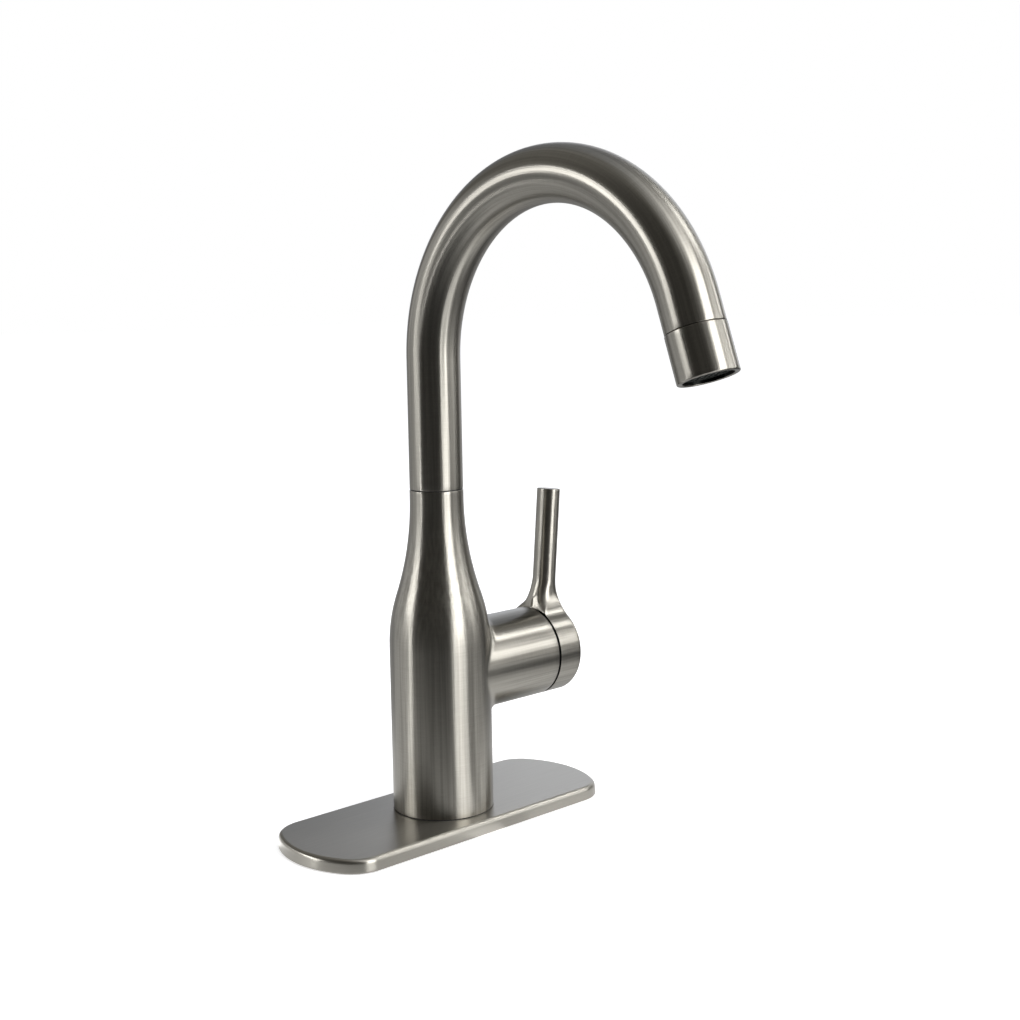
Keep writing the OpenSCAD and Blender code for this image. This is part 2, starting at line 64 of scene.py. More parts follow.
def linear(code):
    """The linear colour, with alpha, of an sRGB hex value such as "#808080"."""
    parts = [int(code[k : k + 2], 16) / 255 for k in (1, 3, 5)]
    return tuple(
        c / 12.92 if c <= 0.04045 else ((c + 0.055) / 1.055) ** 2.4 for c in parts
    ) + (1.0,)


def length(name, description, mm):
    return FloatProperty(
        name=name, description=description, default=mm * MM, unit="LENGTH", precision=5
    )


def angle(name, description, degrees):
    return FloatProperty(
        name=name, description=description, default=math.radians(degrees), subtype="ANGLE"
    )


def share(name, description, value):
    return FloatProperty(
        name=name, description=description, default=value, min=0, max=1, subtype="FACTOR"
    )


def colour(name, description, code):
    return FloatVectorProperty(
        name=name, description=description, default=linear(code), size=4, min=0, max=1,
        subtype="COLOR",
    )


class FaucetPlate(bpy.types.PropertyGroup):
    """Sizes of the deck plate."""

    length: length("Length", "Length of the deck plate", 179)
    width: length("Width", "Width of the deck plate", 68)
    top: length("Top", "Height of the plate's top face above the deck", 6.9)
    end_radius: length("End radius", "Radius of the bowed ends", 49)
    corner_radius: length("Corner radius", "Radius of the corners", 18)
    edge_radius: length("Edge rounding", "Rounding of the top edge", 2.2)
    sheet: length("Sheet", "Thickness of the pressed sheet", 1.2)
    lift: length("Lift", "Gap between the skirt and the deck", 0.5)
    draft: angle("Draft", "Inward lean of the pressed skirt", 5)
    hole: length("Passage", "Radius of the passage for the hoses", 18)


class FaucetBody(bpy.types.PropertyGroup):
    """Sizes of the body and of the valve housing on its side."""

    foot: length("Foot", "Height of the body's foot", 7.3)
    radius: length("Radius", "Radius of the body at its foot", 25)
    shoulder: length("Shoulder", "Height at which the shoulder starts", 89)
    shoulder_length: length("Shoulder length", "From full width to the neck", 73)
    shoulder_share: share("Lower arc", "Share of the shoulder in its lower, outward arc", 0.353)
    neck_radius: length("Neck radius", "Radius of the neck", 13.25)
    neck_top: length("Neck top", "Height of the neck's top", 166.2)
    arm_height: length("Valve height", "Height of the valve axis", 75)
    arm_radius: length("Housing radius", "Radius of the valve housing", 22.8)
    arm_end: length("Housing end", "Distance from the body's axis to the housing's end", 60.8)
    arm_bore: length("Housing bore", "Radius of the housing's bore", 17.8)
    blend: length("Blend", "Radius of the blend between body and housing", 6)
    edge: length("Edge", "Softening of the turned edges", 0.12)
    cavity: length("Cavity", "Radius of the hollow inside the body", 21.4)


class FaucetSpout(bpy.types.PropertyGroup):
    """Sizes of the spout tube and the aerator's collar."""

    radius: length("Radius", "Outer radius of the tube", 13.15)
    wall: length("Wall", "Wall of the tube", 1.5)
    start: length("Start", "Height of the tube's lower end", 166.7)
    rise: length("Rise", "Straight length before the bend", 63.7)
    bend_radius: length("Bend radius", "Radius of the gooseneck", 83.2)
    bend_angle: angle("Bend angle", "Angle that the gooseneck turns through", 161.35)
    tip: length("Tip", "Straight length after the bend", 12.4)
    collar_gap: length("Collar gap", "Gap between tube and collar", 0.3)
    collar_length: length("Collar length", "Length of the aerator's collar", 20.8)
    collar_radius: length("Collar radius", "Outer radius of the collar", 13.35)
    thread_radius: length("Thread radius", "Radius inside the collar's upper part", 11.9)
    mouth_radius: length("Mouth radius", "Radius of the collar's open mouth", 11)
    mouth_depth: length("Mouth depth", "Length of the collar's narrower mouth", 7.5)
    edge: length("Edge", "Softening of the tube's edges", 0.25)
    lip: length("Lip", "Softening of the collar's mouth", 0.5)


class FaucetLever(bpy.types.PropertyGroup):
    """Sizes of the lever: a round hub on the valve axis and a rod that rises from it."""

    rim: length("Rim", "Distance from the body's axis to the hub's rim", 62.2)
    hub_end: length("Hub end", "Distance from the body's axis to the hub's face", 78.1)
    hub_radius: length("Hub radius", "Radius of the hub", 22.8)
    hub_edge: length("Hub edge", "Rounding of the hub's outer edge", 3.2)
    rim_edge: length("Rim edge", "Softening of the hub's rim", 0.08)
    rod_half: length("Rod half width", "Half the width of the rod, across the valve axis", 6.4)
    rod_depth: length("Rod half depth", "Half the depth of the rod, along the valve axis", 5.6)
    rod_length: length("Rod length", "From the valve axis to the rod's tip", 84)
    rod_foot: length("Rod foot", "Where the rod's line meets the valve axis", 69.1)
    rod_lean: angle("Rod lean", "Outward lean of the rod", 5.3)
    rod_edge: length("Rod edge", "Softening of the rod's tip", 0.5)
    flare: length("Flare", "Radius of the flare between rod and hub", 18)
    pivot: length("Pivot", "Distance from the body's axis to the lever's pivot", 45.9)
    recess: length("Recess", "Radius of the ball-shaped recess inside the hub", 27.54)
    boss: length("Boss", "Radius of the boss that holds the stem", 6.8)
    plug: length("Plug", "Radius of the plug over the set screw", 2.95)
    screw: length("Screw", "Distance from the pivot to the set screw, along the axis", 21.92)


class FaucetFinish(bpy.types.PropertyGroup):
    """Colours of the finishes."""

    nickel: colour("Nickel", "Brushed nickel plating", "#a7a49c")
    nickel_dark: colour("Nickel, in the lines", "Brushed nickel in the brush lines", "#9a9790")
    brass: colour("Brass", "Machined brass", "#c8a564")
    copper: colour("Copper", "Drawn copper", "#c98a63")
    steel: colour("Steel", "Turned stainless steel", "#b4b5b6")
    rubber: colour("Rubber", "Black nitrile rubber", "#17171a")
    black: colour("Black", "Black moulded acetal", "#0e0e0f")
    grey: colour("Grey", "Glass-filled nylon", "#3c3e40")
    screen: colour("Aerator", "Dark acetal of the aerator", "#1b1f1c")
    white: colour("White", "Natural acetal", "#e4e0d4")
    ceramic: colour("Ceramic", "Lapped alumina", "#eeece4")
    floor: colour("Floor", "Pale studio floor", "#f2f2f2")


class FaucetStudio(bpy.types.PropertyGroup):
    """The camera: its lens, its place and the direction it looks in."""

    lens: FloatProperty(name="Lens", description="Focal length", default=53.61, subtype="DISTANCE_CAMERA")
    shift: FloatProperty(name="Shift", description="Upward shift of the frame", default=-0.0588)
    eye: FloatVectorProperty(
        name="Eye", description="Place of the camera", size=3, unit="LENGTH",
        default=(-0.4766, -0.5680, 0.2599),
    )
    heading: angle("Heading", "Direction that the camera looks in, from +X to +Y", 47.18)
    tilt: angle("Tilt", "Downward tilt of the camera", 5.79)
    roll: angle("Roll", "Roll of the camera", -1.05)


SETTINGS = {
    "faucet_plate": FaucetPlate,
    "faucet_body": FaucetBody,
    "faucet_spout": FaucetSpout,
    "faucet_lever": FaucetLever,
    "faucet_finish": FaucetFinish,
    "faucet_studio": FaucetStudio,
}


# ------------------------------------------------------------ shape tools


def smooth(x):
    """0 below 0, 1 above 1 and 3x^2 - 2x^3 between."""
    x = np.clip(x, 0, 1)
    return x * x * (3 - 2 * x)


def mix(a, b, t):
    return a + (b - a) * t


def unit(v):
    return v / np.maximum(np.linalg.norm(v, axis=-1, keepdims=True), 1e-12)


def arc(radius, centre, start, stop, count):
    """Points of a circle: centre + radius (cos a, sin a) for a from start to stop."""
    a = np.linspace(start, stop, count)
    return np.stack([centre[0] + radius * np.cos(a), centre[1] + radius * np.sin(a)], -1)


def polyline(*parts):
    return np.concatenate([np.atleast_2d(p) for p in parts])


def softened(points, radii, steps=4):
    """A polyline whose corners are cut by circular arcs: at each corner the arc of the
    given radius touches both sides, so it starts radius * tan(half the turn) before it."""
    points, out = np.asarray(points, float), []
    for p, c, n, r in zip(np.roll(points, 1, 0), points, np.roll(points, -1, 0), radii):
        a, b = unit(p - c), unit(n - c)
        half = math.acos(float(np.clip(a @ b, -1, 1))) / 2
        if r == 0 or half > 1.5:
            out.append(c[None])
            continue
        middle = c + unit(a + b) * r / math.sin(half)
        reach = r / math.tan(half)
        u, v = unit(c + a * reach - middle), unit(c + b * reach - middle)
        t = np.linspace(0, 1, steps + 1)[:, None]
        turn = math.acos(float(np.clip(u @ v, -1, 1)))
        out.append(middle + r * (np.sin((1 - t) * turn) * u + np.sin(t * turn) * v) / math.sin(turn))
    return np.concatenate(out)


def subdivided(points, step):
    """A closed polyline with extra points, so that no side is longer than step."""
    out = []
    for a, b in zip(points, np.roll(points, -1, 0)):
        n = max(1, int(math.ceil(np.linalg.norm(b - a) / step)))
        out.append(a + (b - a) * (np.arange(n) / n)[:, None])
    return np.concatenate(out)


class Sheet:
    """A grid of points[i, j] with, for each point, the coordinates of its brush lines,
    the direction that the brushed finish blurs in, how strong the lines are, and how free
    it is of painted shade: 1 outside and 0 on walls that face inwards, which are painted dark."""

    def __init__(self, points, grain, blur, lines=1.0, wrap=(False, True), keep=None, unshaded=1.0):
        n, m = points.shape[:2]
        self.points, self.grain = points, grain
        self.blur = np.broadcast_to(blur, points.shape)
        self.lines = np.broadcast_to(lines, (n, m))
        self.unshaded = np.broadcast_to(unshaded, (n, m))
        i, j = np.meshgrid(
            np.arange(n if wrap[0] else n - 1), np.arange(m if wrap[1] else m - 1), indexing="ij"
        )
        keep = np.ones(i.shape, bool) if keep is None else keep
        i, j = i[keep], j[keep]
        i2, j2 = (i + 1) % n, (j + 1) % m
        self.quads = np.stack([i * m + j, i * m + j2, i2 * m + j2, i2 * m + j], -1)


def make_piece(name, body, nodes, material, sheets, crease=32):
    """Joins sheets along their common edges into one closed mesh with faces outwards."""
    base = np.cumsum([0] + [s.points.shape[0] * s.points.shape[1] for s in sheets])
    points = np.concatenate([s.points.reshape(-1, 3) for s in sheets])
    quads = np.concatenate([s.quads + b for s, b in zip(sheets, base)])
    mesh = bpy.data.meshes.new(name)
    mesh.vertices.add(len(points))
    mesh.vertices.foreach_set("co", points.astype(np.float32).ravel())
    mesh.loops.add(quads.size)
    mesh.loops.foreach_set("vertex_index", quads.astype(np.int32).ravel())
    mesh.polygons.add(len(quads))
    mesh.polygons.foreach_set("loop_start", np.arange(0, quads.size, 4, dtype=np.int32))
    mesh.update(calc_edges=True)
    # the last attribute is 1 on the outside and 0 where a wall gets the painted shade
    for key, kind, field in (
        ("grain", "FLOAT_VECTOR", "vector"), ("blur", "FLOAT_VECTOR", "vector"),
        ("lines", "FLOAT", "value"), ("unshaded", "FLOAT", "value"),
    ):
        data = np.concatenate([getattr(s, key).ravel() for s in sheets]).astype(np.float32)
        mesh.attributes.new(key, kind, "POINT").data.foreach_set(field, data)
    build = bmesh.new()
    build.from_mesh(mesh)
    bmesh.ops.remove_doubles(build, verts=build.verts, dist=2e-6)
    bmesh.ops.recalc_face_normals(build, faces=build.faces)
    if build.calc_volume(signed=True) < 0:
        bmesh.ops.reverse_faces(build, faces=build.faces)
    open_edges = sum(not e.is_manifold for e in build.edges)
    build.to_mesh(mesh)
    build.free()
    if open_edges:
        raise RuntimeError(f"{name}: {open_edges} open edges")
    mesh.shade_smooth()
    mesh.set_sharp_from_angle(angle=math.radians(crease))
    mesh.materials.append(material)
    piece = bpy.data.objects.new(name, mesh)
    bpy.context.scene.collection.objects.link(piece)
    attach(piece, body)
    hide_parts(*nodes)
    return piece


def turned(profile, place, columns=160, lines=1.0, closed=True, unshaded=1.0):
    """A profile carried round an axis, closed, or open with both ends on the axis: point
    (r, s) of the profile goes to centre(s) + r (cos t first(s) + sin t second(s)). The
    brush lines run round the axis, so the finish blurs along the profile."""
    r, s = profile[:, 0], profile[:, 1]
    centre, first, second, _ = place(s)
    t = TURN * np.arange(columns) / columns
    ring = np.cos(t)[None, :, None] * first[:, None] + np.sin(t)[None, :, None] * second[:, None]
    points = centre[:, None] + r[:, None, None] * ring
    run = np.concatenate([[0], np.cumsum(np.linalg.norm(np.diff(profile, axis=0), axis=1))])
    grain = np.stack([
        r[:, None] * np.cos(t), r[:, None] * np.sin(t),
        np.broadcast_to(run[:, None], (len(r), columns)),
    ], -1)
    blur = unit(np.roll(points, -1, 0) - np.roll(points, 1, 0) if closed else np.gradient(points, axis=0))
    return Sheet(points, grain, blur, lines, wrap=(closed, True), unshaded=np.reshape(unshaded, (-1, 1)))


def straight(origin, axis, first):
    """Place function of a straight axis."""
    origin, axis, first = (np.array(v, float) for v in (origin, axis, first))
    second = np.cross(axis, first)

    def place(s):
        n = (len(s), 1)
        return origin + s[:, None] * axis, np.tile(first, n), np.tile(second, n), np.tile(axis, n)

    return place


# ---------------------------------------------------------- material tools


def add_node(tree, kind, inputs=None, **settings):
    """Adds a node, applies its settings, and fills its inputs with values or links."""
    made = tree.nodes.new(kind)
    for key, value in settings.items():
        setattr(made, key, value)
    for key, value in (inputs or {}).items():
        if isinstance(value, bpy.types.NodeSocket):
            tree.links.new(value, made.inputs[key])
        else:
            made.inputs[key].default_value = value
    return made


def new_material(name):
    """An empty node material with its output node."""
    made = bpy.data.materials.new(name)
    made.use_nodes = True
    made.node_tree.nodes.clear()
    return made, made.node_tree, add_node(made.node_tree, "ShaderNodeOutputMaterial")


def speckle(tree, vector, size_mm, low, high):
    """A noise of the given grain size in millimetres, and the same spread from low to high."""
    noise = add_node(tree, "ShaderNodeTexNoise", {
        "Vector": vector, "Scale": 1 / (size_mm * MM), "Detail": 3.0,
    })
    spread = add_node(tree, "ShaderNodeMapRange", {
        "Value": noise.outputs["Fac"], "From Min": 0.3, "From Max": 0.7, "To Min": low, "To Max": high,
    })
    return noise.outputs["Fac"], spread.outputs["Result"]


def brushed_nickel(
    name, finish, along_mm=0.13, round_mm=7.0, rough=0.295, ripple_mm=0.045, streak=0.24
):
    """Brushed nickel plating on brass, brushed round each form with a fine belt: the lines
    are fine and even and the gloss is stretched across them. The belt also leaves faint
    ripples round the form, which show as streaks across the lines. Walls that face inwards
    get painted shade: their colour is painted dark. A line is along_mm wide and round_mm
    long. Real lines are about 0.05 mm wide, too fine to show here, so they are drawn coarser."""
    uneven, worn_share = 0.015, 0.006
    band_mm, band_round_mm = 4, 50
    wave_mm, wave_along_mm, wave_level = 1.3, 70, 0.65
    # painted shade: the dark colour painted on walls that face inwards
    painted_shade_colour = linear("#1d1e1d")
    made, tree, out = new_material(name)
    grain = add_node(tree, "ShaderNodeAttribute", attribute_name="grain")
    blur = add_node(tree, "ShaderNodeAttribute", attribute_name="blur")
    lines = add_node(tree, "ShaderNodeAttribute", attribute_name="lines")
    unshaded = add_node(tree, "ShaderNodeAttribute", attribute_name="unshaded")
    world_blur = add_node(tree, "ShaderNodeVectorTransform", {
        "Vector": blur.outputs["Vector"],
    }, vector_type="VECTOR", convert_from="OBJECT", convert_to="WORLD")
    # The lines: fine noise, stretched round the form
    stretched = add_node(tree, "ShaderNodeMapping", {
        "Vector": grain.outputs["Vector"],
        "Scale": (1 / (round_mm * MM), 1 / (round_mm * MM), 1 / (along_mm * MM)),
    })
    fine = add_node(tree, "ShaderNodeTexNoise", {
        "Vector": stretched.outputs["Vector"], "Scale": 1.0, "Detail": 3.0, "Roughness": 0.6,
    })
    # Broad bands where the belt was more worn
    broad = add_node(tree, "ShaderNodeMapping", {
        "Vector": grain.outputs["Vector"],
        "Scale": (1 / (band_round_mm * MM), 1 / (band_round_mm * MM), 1 / (band_mm * MM)),
    })
    bands = add_node(tree, "ShaderNodeTexNoise", {
        "Vector": broad.outputs["Vector"], "Scale": 1.0, "Detail": 2.0,
    })
    weight = add_node(tree, "ShaderNodeMath", {
        0: fine.outputs["Fac"], 1: 0.5,
    }, operation="SUBTRACT")
    weight = add_node(tree, "ShaderNodeMath", {
        0: weight.outputs[0], 1: lines.outputs["Fac"],
    }, operation="MULTIPLY")
    tone = add_node(tree, "ShaderNodeMapRange", {
        "Value": weight.outputs[0], "From Min": -0.22, "From Max": 0.22,
        "To Min": 1.0, "To Max": 0.0,
    })
    base = add_node(tree, "ShaderNodeMix", {
        "Factor": tone.outputs["Result"], "A": finish.nickel, "B": finish.nickel_dark,
    }, data_type="RGBA")
    roughness = add_node(tree, "ShaderNodeMapRange", {
        "Value": fine.outputs["Fac"], "From Min": 0.25, "From Max": 0.75,
        "To Min": rough - uneven, "To Max": rough + uneven,
    })
    worn = add_node(tree, "ShaderNodeMapRange", {
        "Value": bands.outputs["Fac"], "From Min": 0.3, "From Max": 0.7,
        "To Min": -worn_share, "To Max": worn_share,
    })
    roughness = add_node(tree, "ShaderNodeMath", {
        0: roughness.outputs["Result"], 1: worn.outputs["Result"],
    }, operation="ADD")
    # The ripples: short waves round the form that run a long way across the lines
    run = add_node(tree, "ShaderNodeMapping", {
        "Vector": grain.outputs["Vector"],
        "Scale": (1 / (wave_mm * MM), 1 / (wave_mm * MM), 1 / (wave_along_mm * MM)),
    })
    waves = add_node(tree, "ShaderNodeTexNoise", {
        "Vector": run.outputs["Vector"], "Scale": 1.0, "Detail": 2.0,
    })
    waves = add_node(tree, "ShaderNodeMath", {
        0: waves.outputs["Fac"], 1: wave_level,
    }, operation="SUBTRACT")
    waves = add_node(tree, "ShaderNodeMath", {
        0: waves.outputs[0], 1: lines.outputs["Fac"],
    }, operation="MULTIPLY")
    ripple = add_node(tree, "ShaderNodeBump", {
        "Height": waves.outputs[0], "Strength": 1.0, "Distance": ripple_mm * MM,
    })
    dull = add_node(tree, "ShaderNodeMapRange", {
        "Value": waves.outputs[0], "From Min": -0.3, "From Max": 0.0,
        "To Min": 1.0 - streak, "To Max": 1.0,
    })
    base = add_node(tree, "ShaderNodeMix", {
        "Factor": 1.0, "A": base.outputs["Result"], "B": dull.outputs["Result"],
    }, data_type="RGBA", blend_type="MULTIPLY")
    # painted shade: where the attribute is 0, on walls that face inwards, the colour is painted dark
    base = add_node(tree, "ShaderNodeMix", {
        "Factor": unshaded.outputs["Fac"], "A": painted_shade_colour, "B": base.outputs["Result"],
    }, data_type="RGBA")
    bump = add_node(tree, "ShaderNodeBump", {
        "Height": weight.outputs[0], "Strength": 0.15, "Distance": 0.004 * MM,
        "Normal": ripple.outputs["Normal"],
    })
    shader = add_node(tree, "ShaderNodeBsdfPrincipled", {
        "Base Color": base.outputs["Result"], "Metallic": 1.0, "Roughness": roughness.outputs[0],
        "Anisotropic": 0.86, "Tangent": world_blur.outputs["Vector"],
        "Normal": bump.outputs["Normal"],
    })
    tree.links.new(shader.outputs["BSDF"], out.inputs["Surface"])
    return made


def turned_metal(name, tint, rough, cut_mm, axis):
    """A bare metal turned on a lathe: rings of tool marks cut_mm apart along the axis, and
    a gloss that is uneven from ring to ring."""
    round_mm, stain_mm, uneven = 12, 6, 0.07
    tarnish = linear("#3f3830")
    made, tree, out = new_material(name)
    place = add_node(tree, "ShaderNodeTexCoord")
    scale = [1 / (round_mm * MM)] * 3
    scale["XYZ".index(axis)] = 1 / (cut_mm * MM)
    stretched = add_node(tree, "ShaderNodeMapping", {
        "Vector": place.outputs["Object"], "Scale": scale,
    })
    marks = add_node(tree, "ShaderNodeTexNoise", {
        "Vector": stretched.outputs["Vector"], "Scale": 1.0, "Detail": 2.0,
    })
    _, stain = speckle(tree, place.outputs["Object"], stain_mm, 0.82, 1.0)
    base = add_node(tree, "ShaderNodeMix", {
        "Factor": stain, "A": tarnish, "B": tint,
    }, data_type="RGBA")
    roughness = add_node(tree, "ShaderNodeMapRange", {
        "Value": marks.outputs["Fac"], "From Min": 0.3, "From Max": 0.7,
        "To Min": rough - uneven, "To Max": rough + uneven,
    })
    bump = add_node(tree, "ShaderNodeBump", {
        "Height": marks.outputs["Fac"], "Strength": 0.3, "Distance": 0.02 * MM,
    })
    shader = add_node(tree, "ShaderNodeBsdfPrincipled", {
        "Base Color": base.outputs["Result"], "Metallic": 1.0,
        "Roughness": roughness.outputs["Result"], "Normal": bump.outputs["Normal"],
    })
    tree.links.new(shader.outputs["BSDF"], out.inputs["Surface"])
    return made


def moulded(name, tint, rough, ior, grit_mm, depth_mm):
    """A moulded or pressed non-metal: an even colour with faint clouding, and the grit of
    its mould or grinding as a fine bump."""
    cloud_mm, uneven, shade = 7, 0.06, 0.7
    made, tree, out = new_material(name)
    place = add_node(tree, "ShaderNodeTexCoord")
    _, cloud = speckle(tree, place.outputs["Object"], cloud_mm, 0.9, 1.0)
    dark = tuple(shade * c for c in tint[:3]) + (1,)
    base = add_node(tree, "ShaderNodeMix", {
        "Factor": cloud, "A": dark, "B": tint,
    }, data_type="RGBA")
    grit, roughness = speckle(
        tree, place.outputs["Object"], grit_mm, rough - uneven, rough + uneven
    )
    bump = add_node(tree, "ShaderNodeBump", {
        "Height": grit, "Strength": 0.4, "Distance": depth_mm * MM,
    })
    shader = add_node(tree, "ShaderNodeBsdfPrincipled", {
        "Base Color": base.outputs["Result"], "Roughness": roughness, "IOR": ior,
        "Normal": bump.outputs["Normal"],
    })
    tree.links.new(shader.outputs["BSDF"], out.inputs["Surface"])
    return made


def dress(material, *nodes):
    """Gives CAD nodes a material in place of their plain one."""
    for n in nodes:
        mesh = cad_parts[n].data
        mesh.materials.clear()
        mesh.materials.append(material)


def nickel():
    """The one brushed nickel that all the turned pieces share."""
    return bpy.data.materials.get("brushed_nickel_turned") or brushed_nickel(
        "brushed_nickel_turned", bpy.context.scene.faucet_finish
    )


# ---------------------------------------------------------------- pieces


def body_radius(z, s):
    """Radius of the body at height z: full width, then an outward arc of radius a, then
    an inward arc of radius b into the neck. The arcs share one tangent; a + b is the
    shoulder's length / sin(turn), where tan(turn / 2) = drop / length."""
    drop, span = s.radius - s.neck_radius, s.shoulder_length
    turn = 2 * math.atan2(drop, span)
    total = span / math.sin(turn)
    a = total * s.shoulder_share
    b = total - a
    up = z - s.shoulder
    low = s.radius - a + np.sqrt(np.maximum(a**2 - np.clip(up, 0, a) ** 2, 0))
    high = s.neck_radius + b - np.sqrt(np.maximum(b**2 - np.clip(span - up, 0, b) ** 2, 0))
    shoulder = np.where(up <= a * math.sin(turn), low, high)
    return np.where(up <= 0, s.radius, np.where(up < span, shoulder, s.neck_radius))


def ball_contacts(phi, radius_at, s):
    """A ball of radius blend rolls round the joint of a turned body and its housing along
    +X. Its centre is the housing's radius + blend from the housing's axis and one blend off
    the body's surface. Gives the centre, the points where it touches the body and the
    housing, and the first one's bearing and height."""
    nudge, rounds = 1e-5, 12
    reach = s.arm_radius + s.blend
    y, z = reach * np.cos(phi), s.arm_height + reach * np.sin(phi)
    touch = z.copy()
    for _ in range(rounds):
        slope = (radius_at(touch + nudge) - radius_at(touch - nudge)) / (2 * nudge)
        lean = np.arctan(-slope)
        touch = z - s.blend * np.sin(lean)
    far = radius_at(touch) + s.blend * np.cos(lean)
    x = np.sqrt(far**2 - y**2)
    centre = np.stack([x, y, z], -1)
    theta = np.arctan2(y, x)
    on_body = np.stack([
        radius_at(touch) * np.cos(theta), radius_at(touch) * np.sin(theta), touch
    ], -1)
    on_arm = np.stack([
        x, s.arm_radius * np.cos(phi), s.arm_height + s.arm_radius * np.sin(phi)
    ], -1)
    return centre, on_body, on_arm, theta, touch


def rim_walk(rows, columns):
    """Grid indices round the rectangle of rows 0..rows and columns -c..c, in order."""
    i = np.concatenate([
        np.full(2 * columns, 0), np.arange(0, rows),
        np.full(2 * columns, rows), np.arange(rows, 0, -1),
    ])
    j = np.concatenate([
        np.arange(-columns, columns), np.full(rows, columns),
        np.arange(columns, -columns, -1), np.full(rows, -columns),
    ])
    return i, j


WINDOW_ROWS, WINDOW_HALF, BODY_COLUMNS = 38, 46, 208


def body_shell_sheet(s):
    """The closed profile of body and cavity turned about Z, with a window on its +X side,
    outside and inside, for the valve housing. The profile runs round the foot's edge, up
    the outside, round the neck's edge and down the cavity. Gives the sheet, and the heights
    of the rows of the outer and the inner window."""
    e, rows = s.edge, WINDOW_ROWS
    below, above = 16, 40
    outer_low, outer_high = s.arm_height - 36 * MM, s.arm_height + 37 * MM
    inner_low, inner_high = s.arm_height - 22 * MM, s.arm_height + 22 * MM
    sleeve, shaft, chamber = 10.6 * MM, 9.6 * MM, 12.5 * MM
    sleeve_foot = s.neck_top - 16 * MM
    chamber_top, chamber_foot, cavity_top = 122.9 * MM, 116.9 * MM, 98.9 * MM
    window = np.linspace(outer_low, outer_high, rows + 1)
    outer_z = np.concatenate([
        np.linspace(s.foot + e, outer_low, below)[:-1], window,
        np.linspace(outer_high, s.neck_top - e, above)[1:],
    ])
    outer = np.stack([body_radius(outer_z, s), outer_z], -1)
    above_window = polyline(
        (sleeve, s.neck_top), (sleeve, sleeve_foot), (shaft, sleeve_foot), (shaft, chamber_top),
        (chamber, chamber_top), (chamber, chamber_foot), (s.cavity, cavity_top),
    )
    inner_window = np.linspace(inner_high, inner_low, rows + 1)
    inner = polyline(
        above_window, np.stack([np.full(rows + 1, s.cavity), inner_window], -1),
        (s.cavity, s.foot),
    )
    foot_edge = arc(e, (s.radius - e, s.foot + e), -math.pi / 2, 0, 4)[:-1]
    neck_edge = arc(e, (s.neck_radius - e, s.neck_top - e), 0, math.pi / 2, 4)[1:]
    profile = polyline(foot_edge, outer, neck_edge, inner)
    outside = len(foot_edge) + len(outer) + len(neck_edge)
    first_outer = len(foot_edge) + below - 1
    first_inner = outside + len(above_window)

    t = TURN * np.arange(BODY_COLUMNS) / BODY_COLUMNS
    r, z = profile[:, :1], profile[:, 1:]
    points = np.stack([
        r * np.cos(t), r * np.sin(t), np.broadcast_to(z, (len(r), len(t)))
    ], -1)
    row, col = np.meshgrid(np.arange(len(r)), np.arange(len(t)), indexing="ij")
    near = (col < WINDOW_HALF) | (col >= len(t) - WINDOW_HALF)
    beside = (row >= first_outer) & (row < first_outer + rows)
    beside |= (row >= first_inner) & (row < first_inner + rows)
    blur = unit(np.roll(points, -1, 0) - np.roll(points, 1, 0))
    # the cavity's walls get the painted shade
    unshaded = (np.arange(len(r)) < outside)[:, None]
    shell = Sheet(points, points, blur, wrap=(True, True), keep=~(near & beside), unshaded=unshaded)
    return shell, window, inner_window[::-1]


def housing_rings(s, phi, x, radius):
    """Rows of points round the housing's axis: each row has its x and its radius."""
    shape = (len(x), len(phi))
    x, radius = np.broadcast_to(x, shape), np.broadcast_to(radius, shape)
    return np.stack([x, radius * np.cos(phi), s.arm_height + radius * np.sin(phi)], -1)


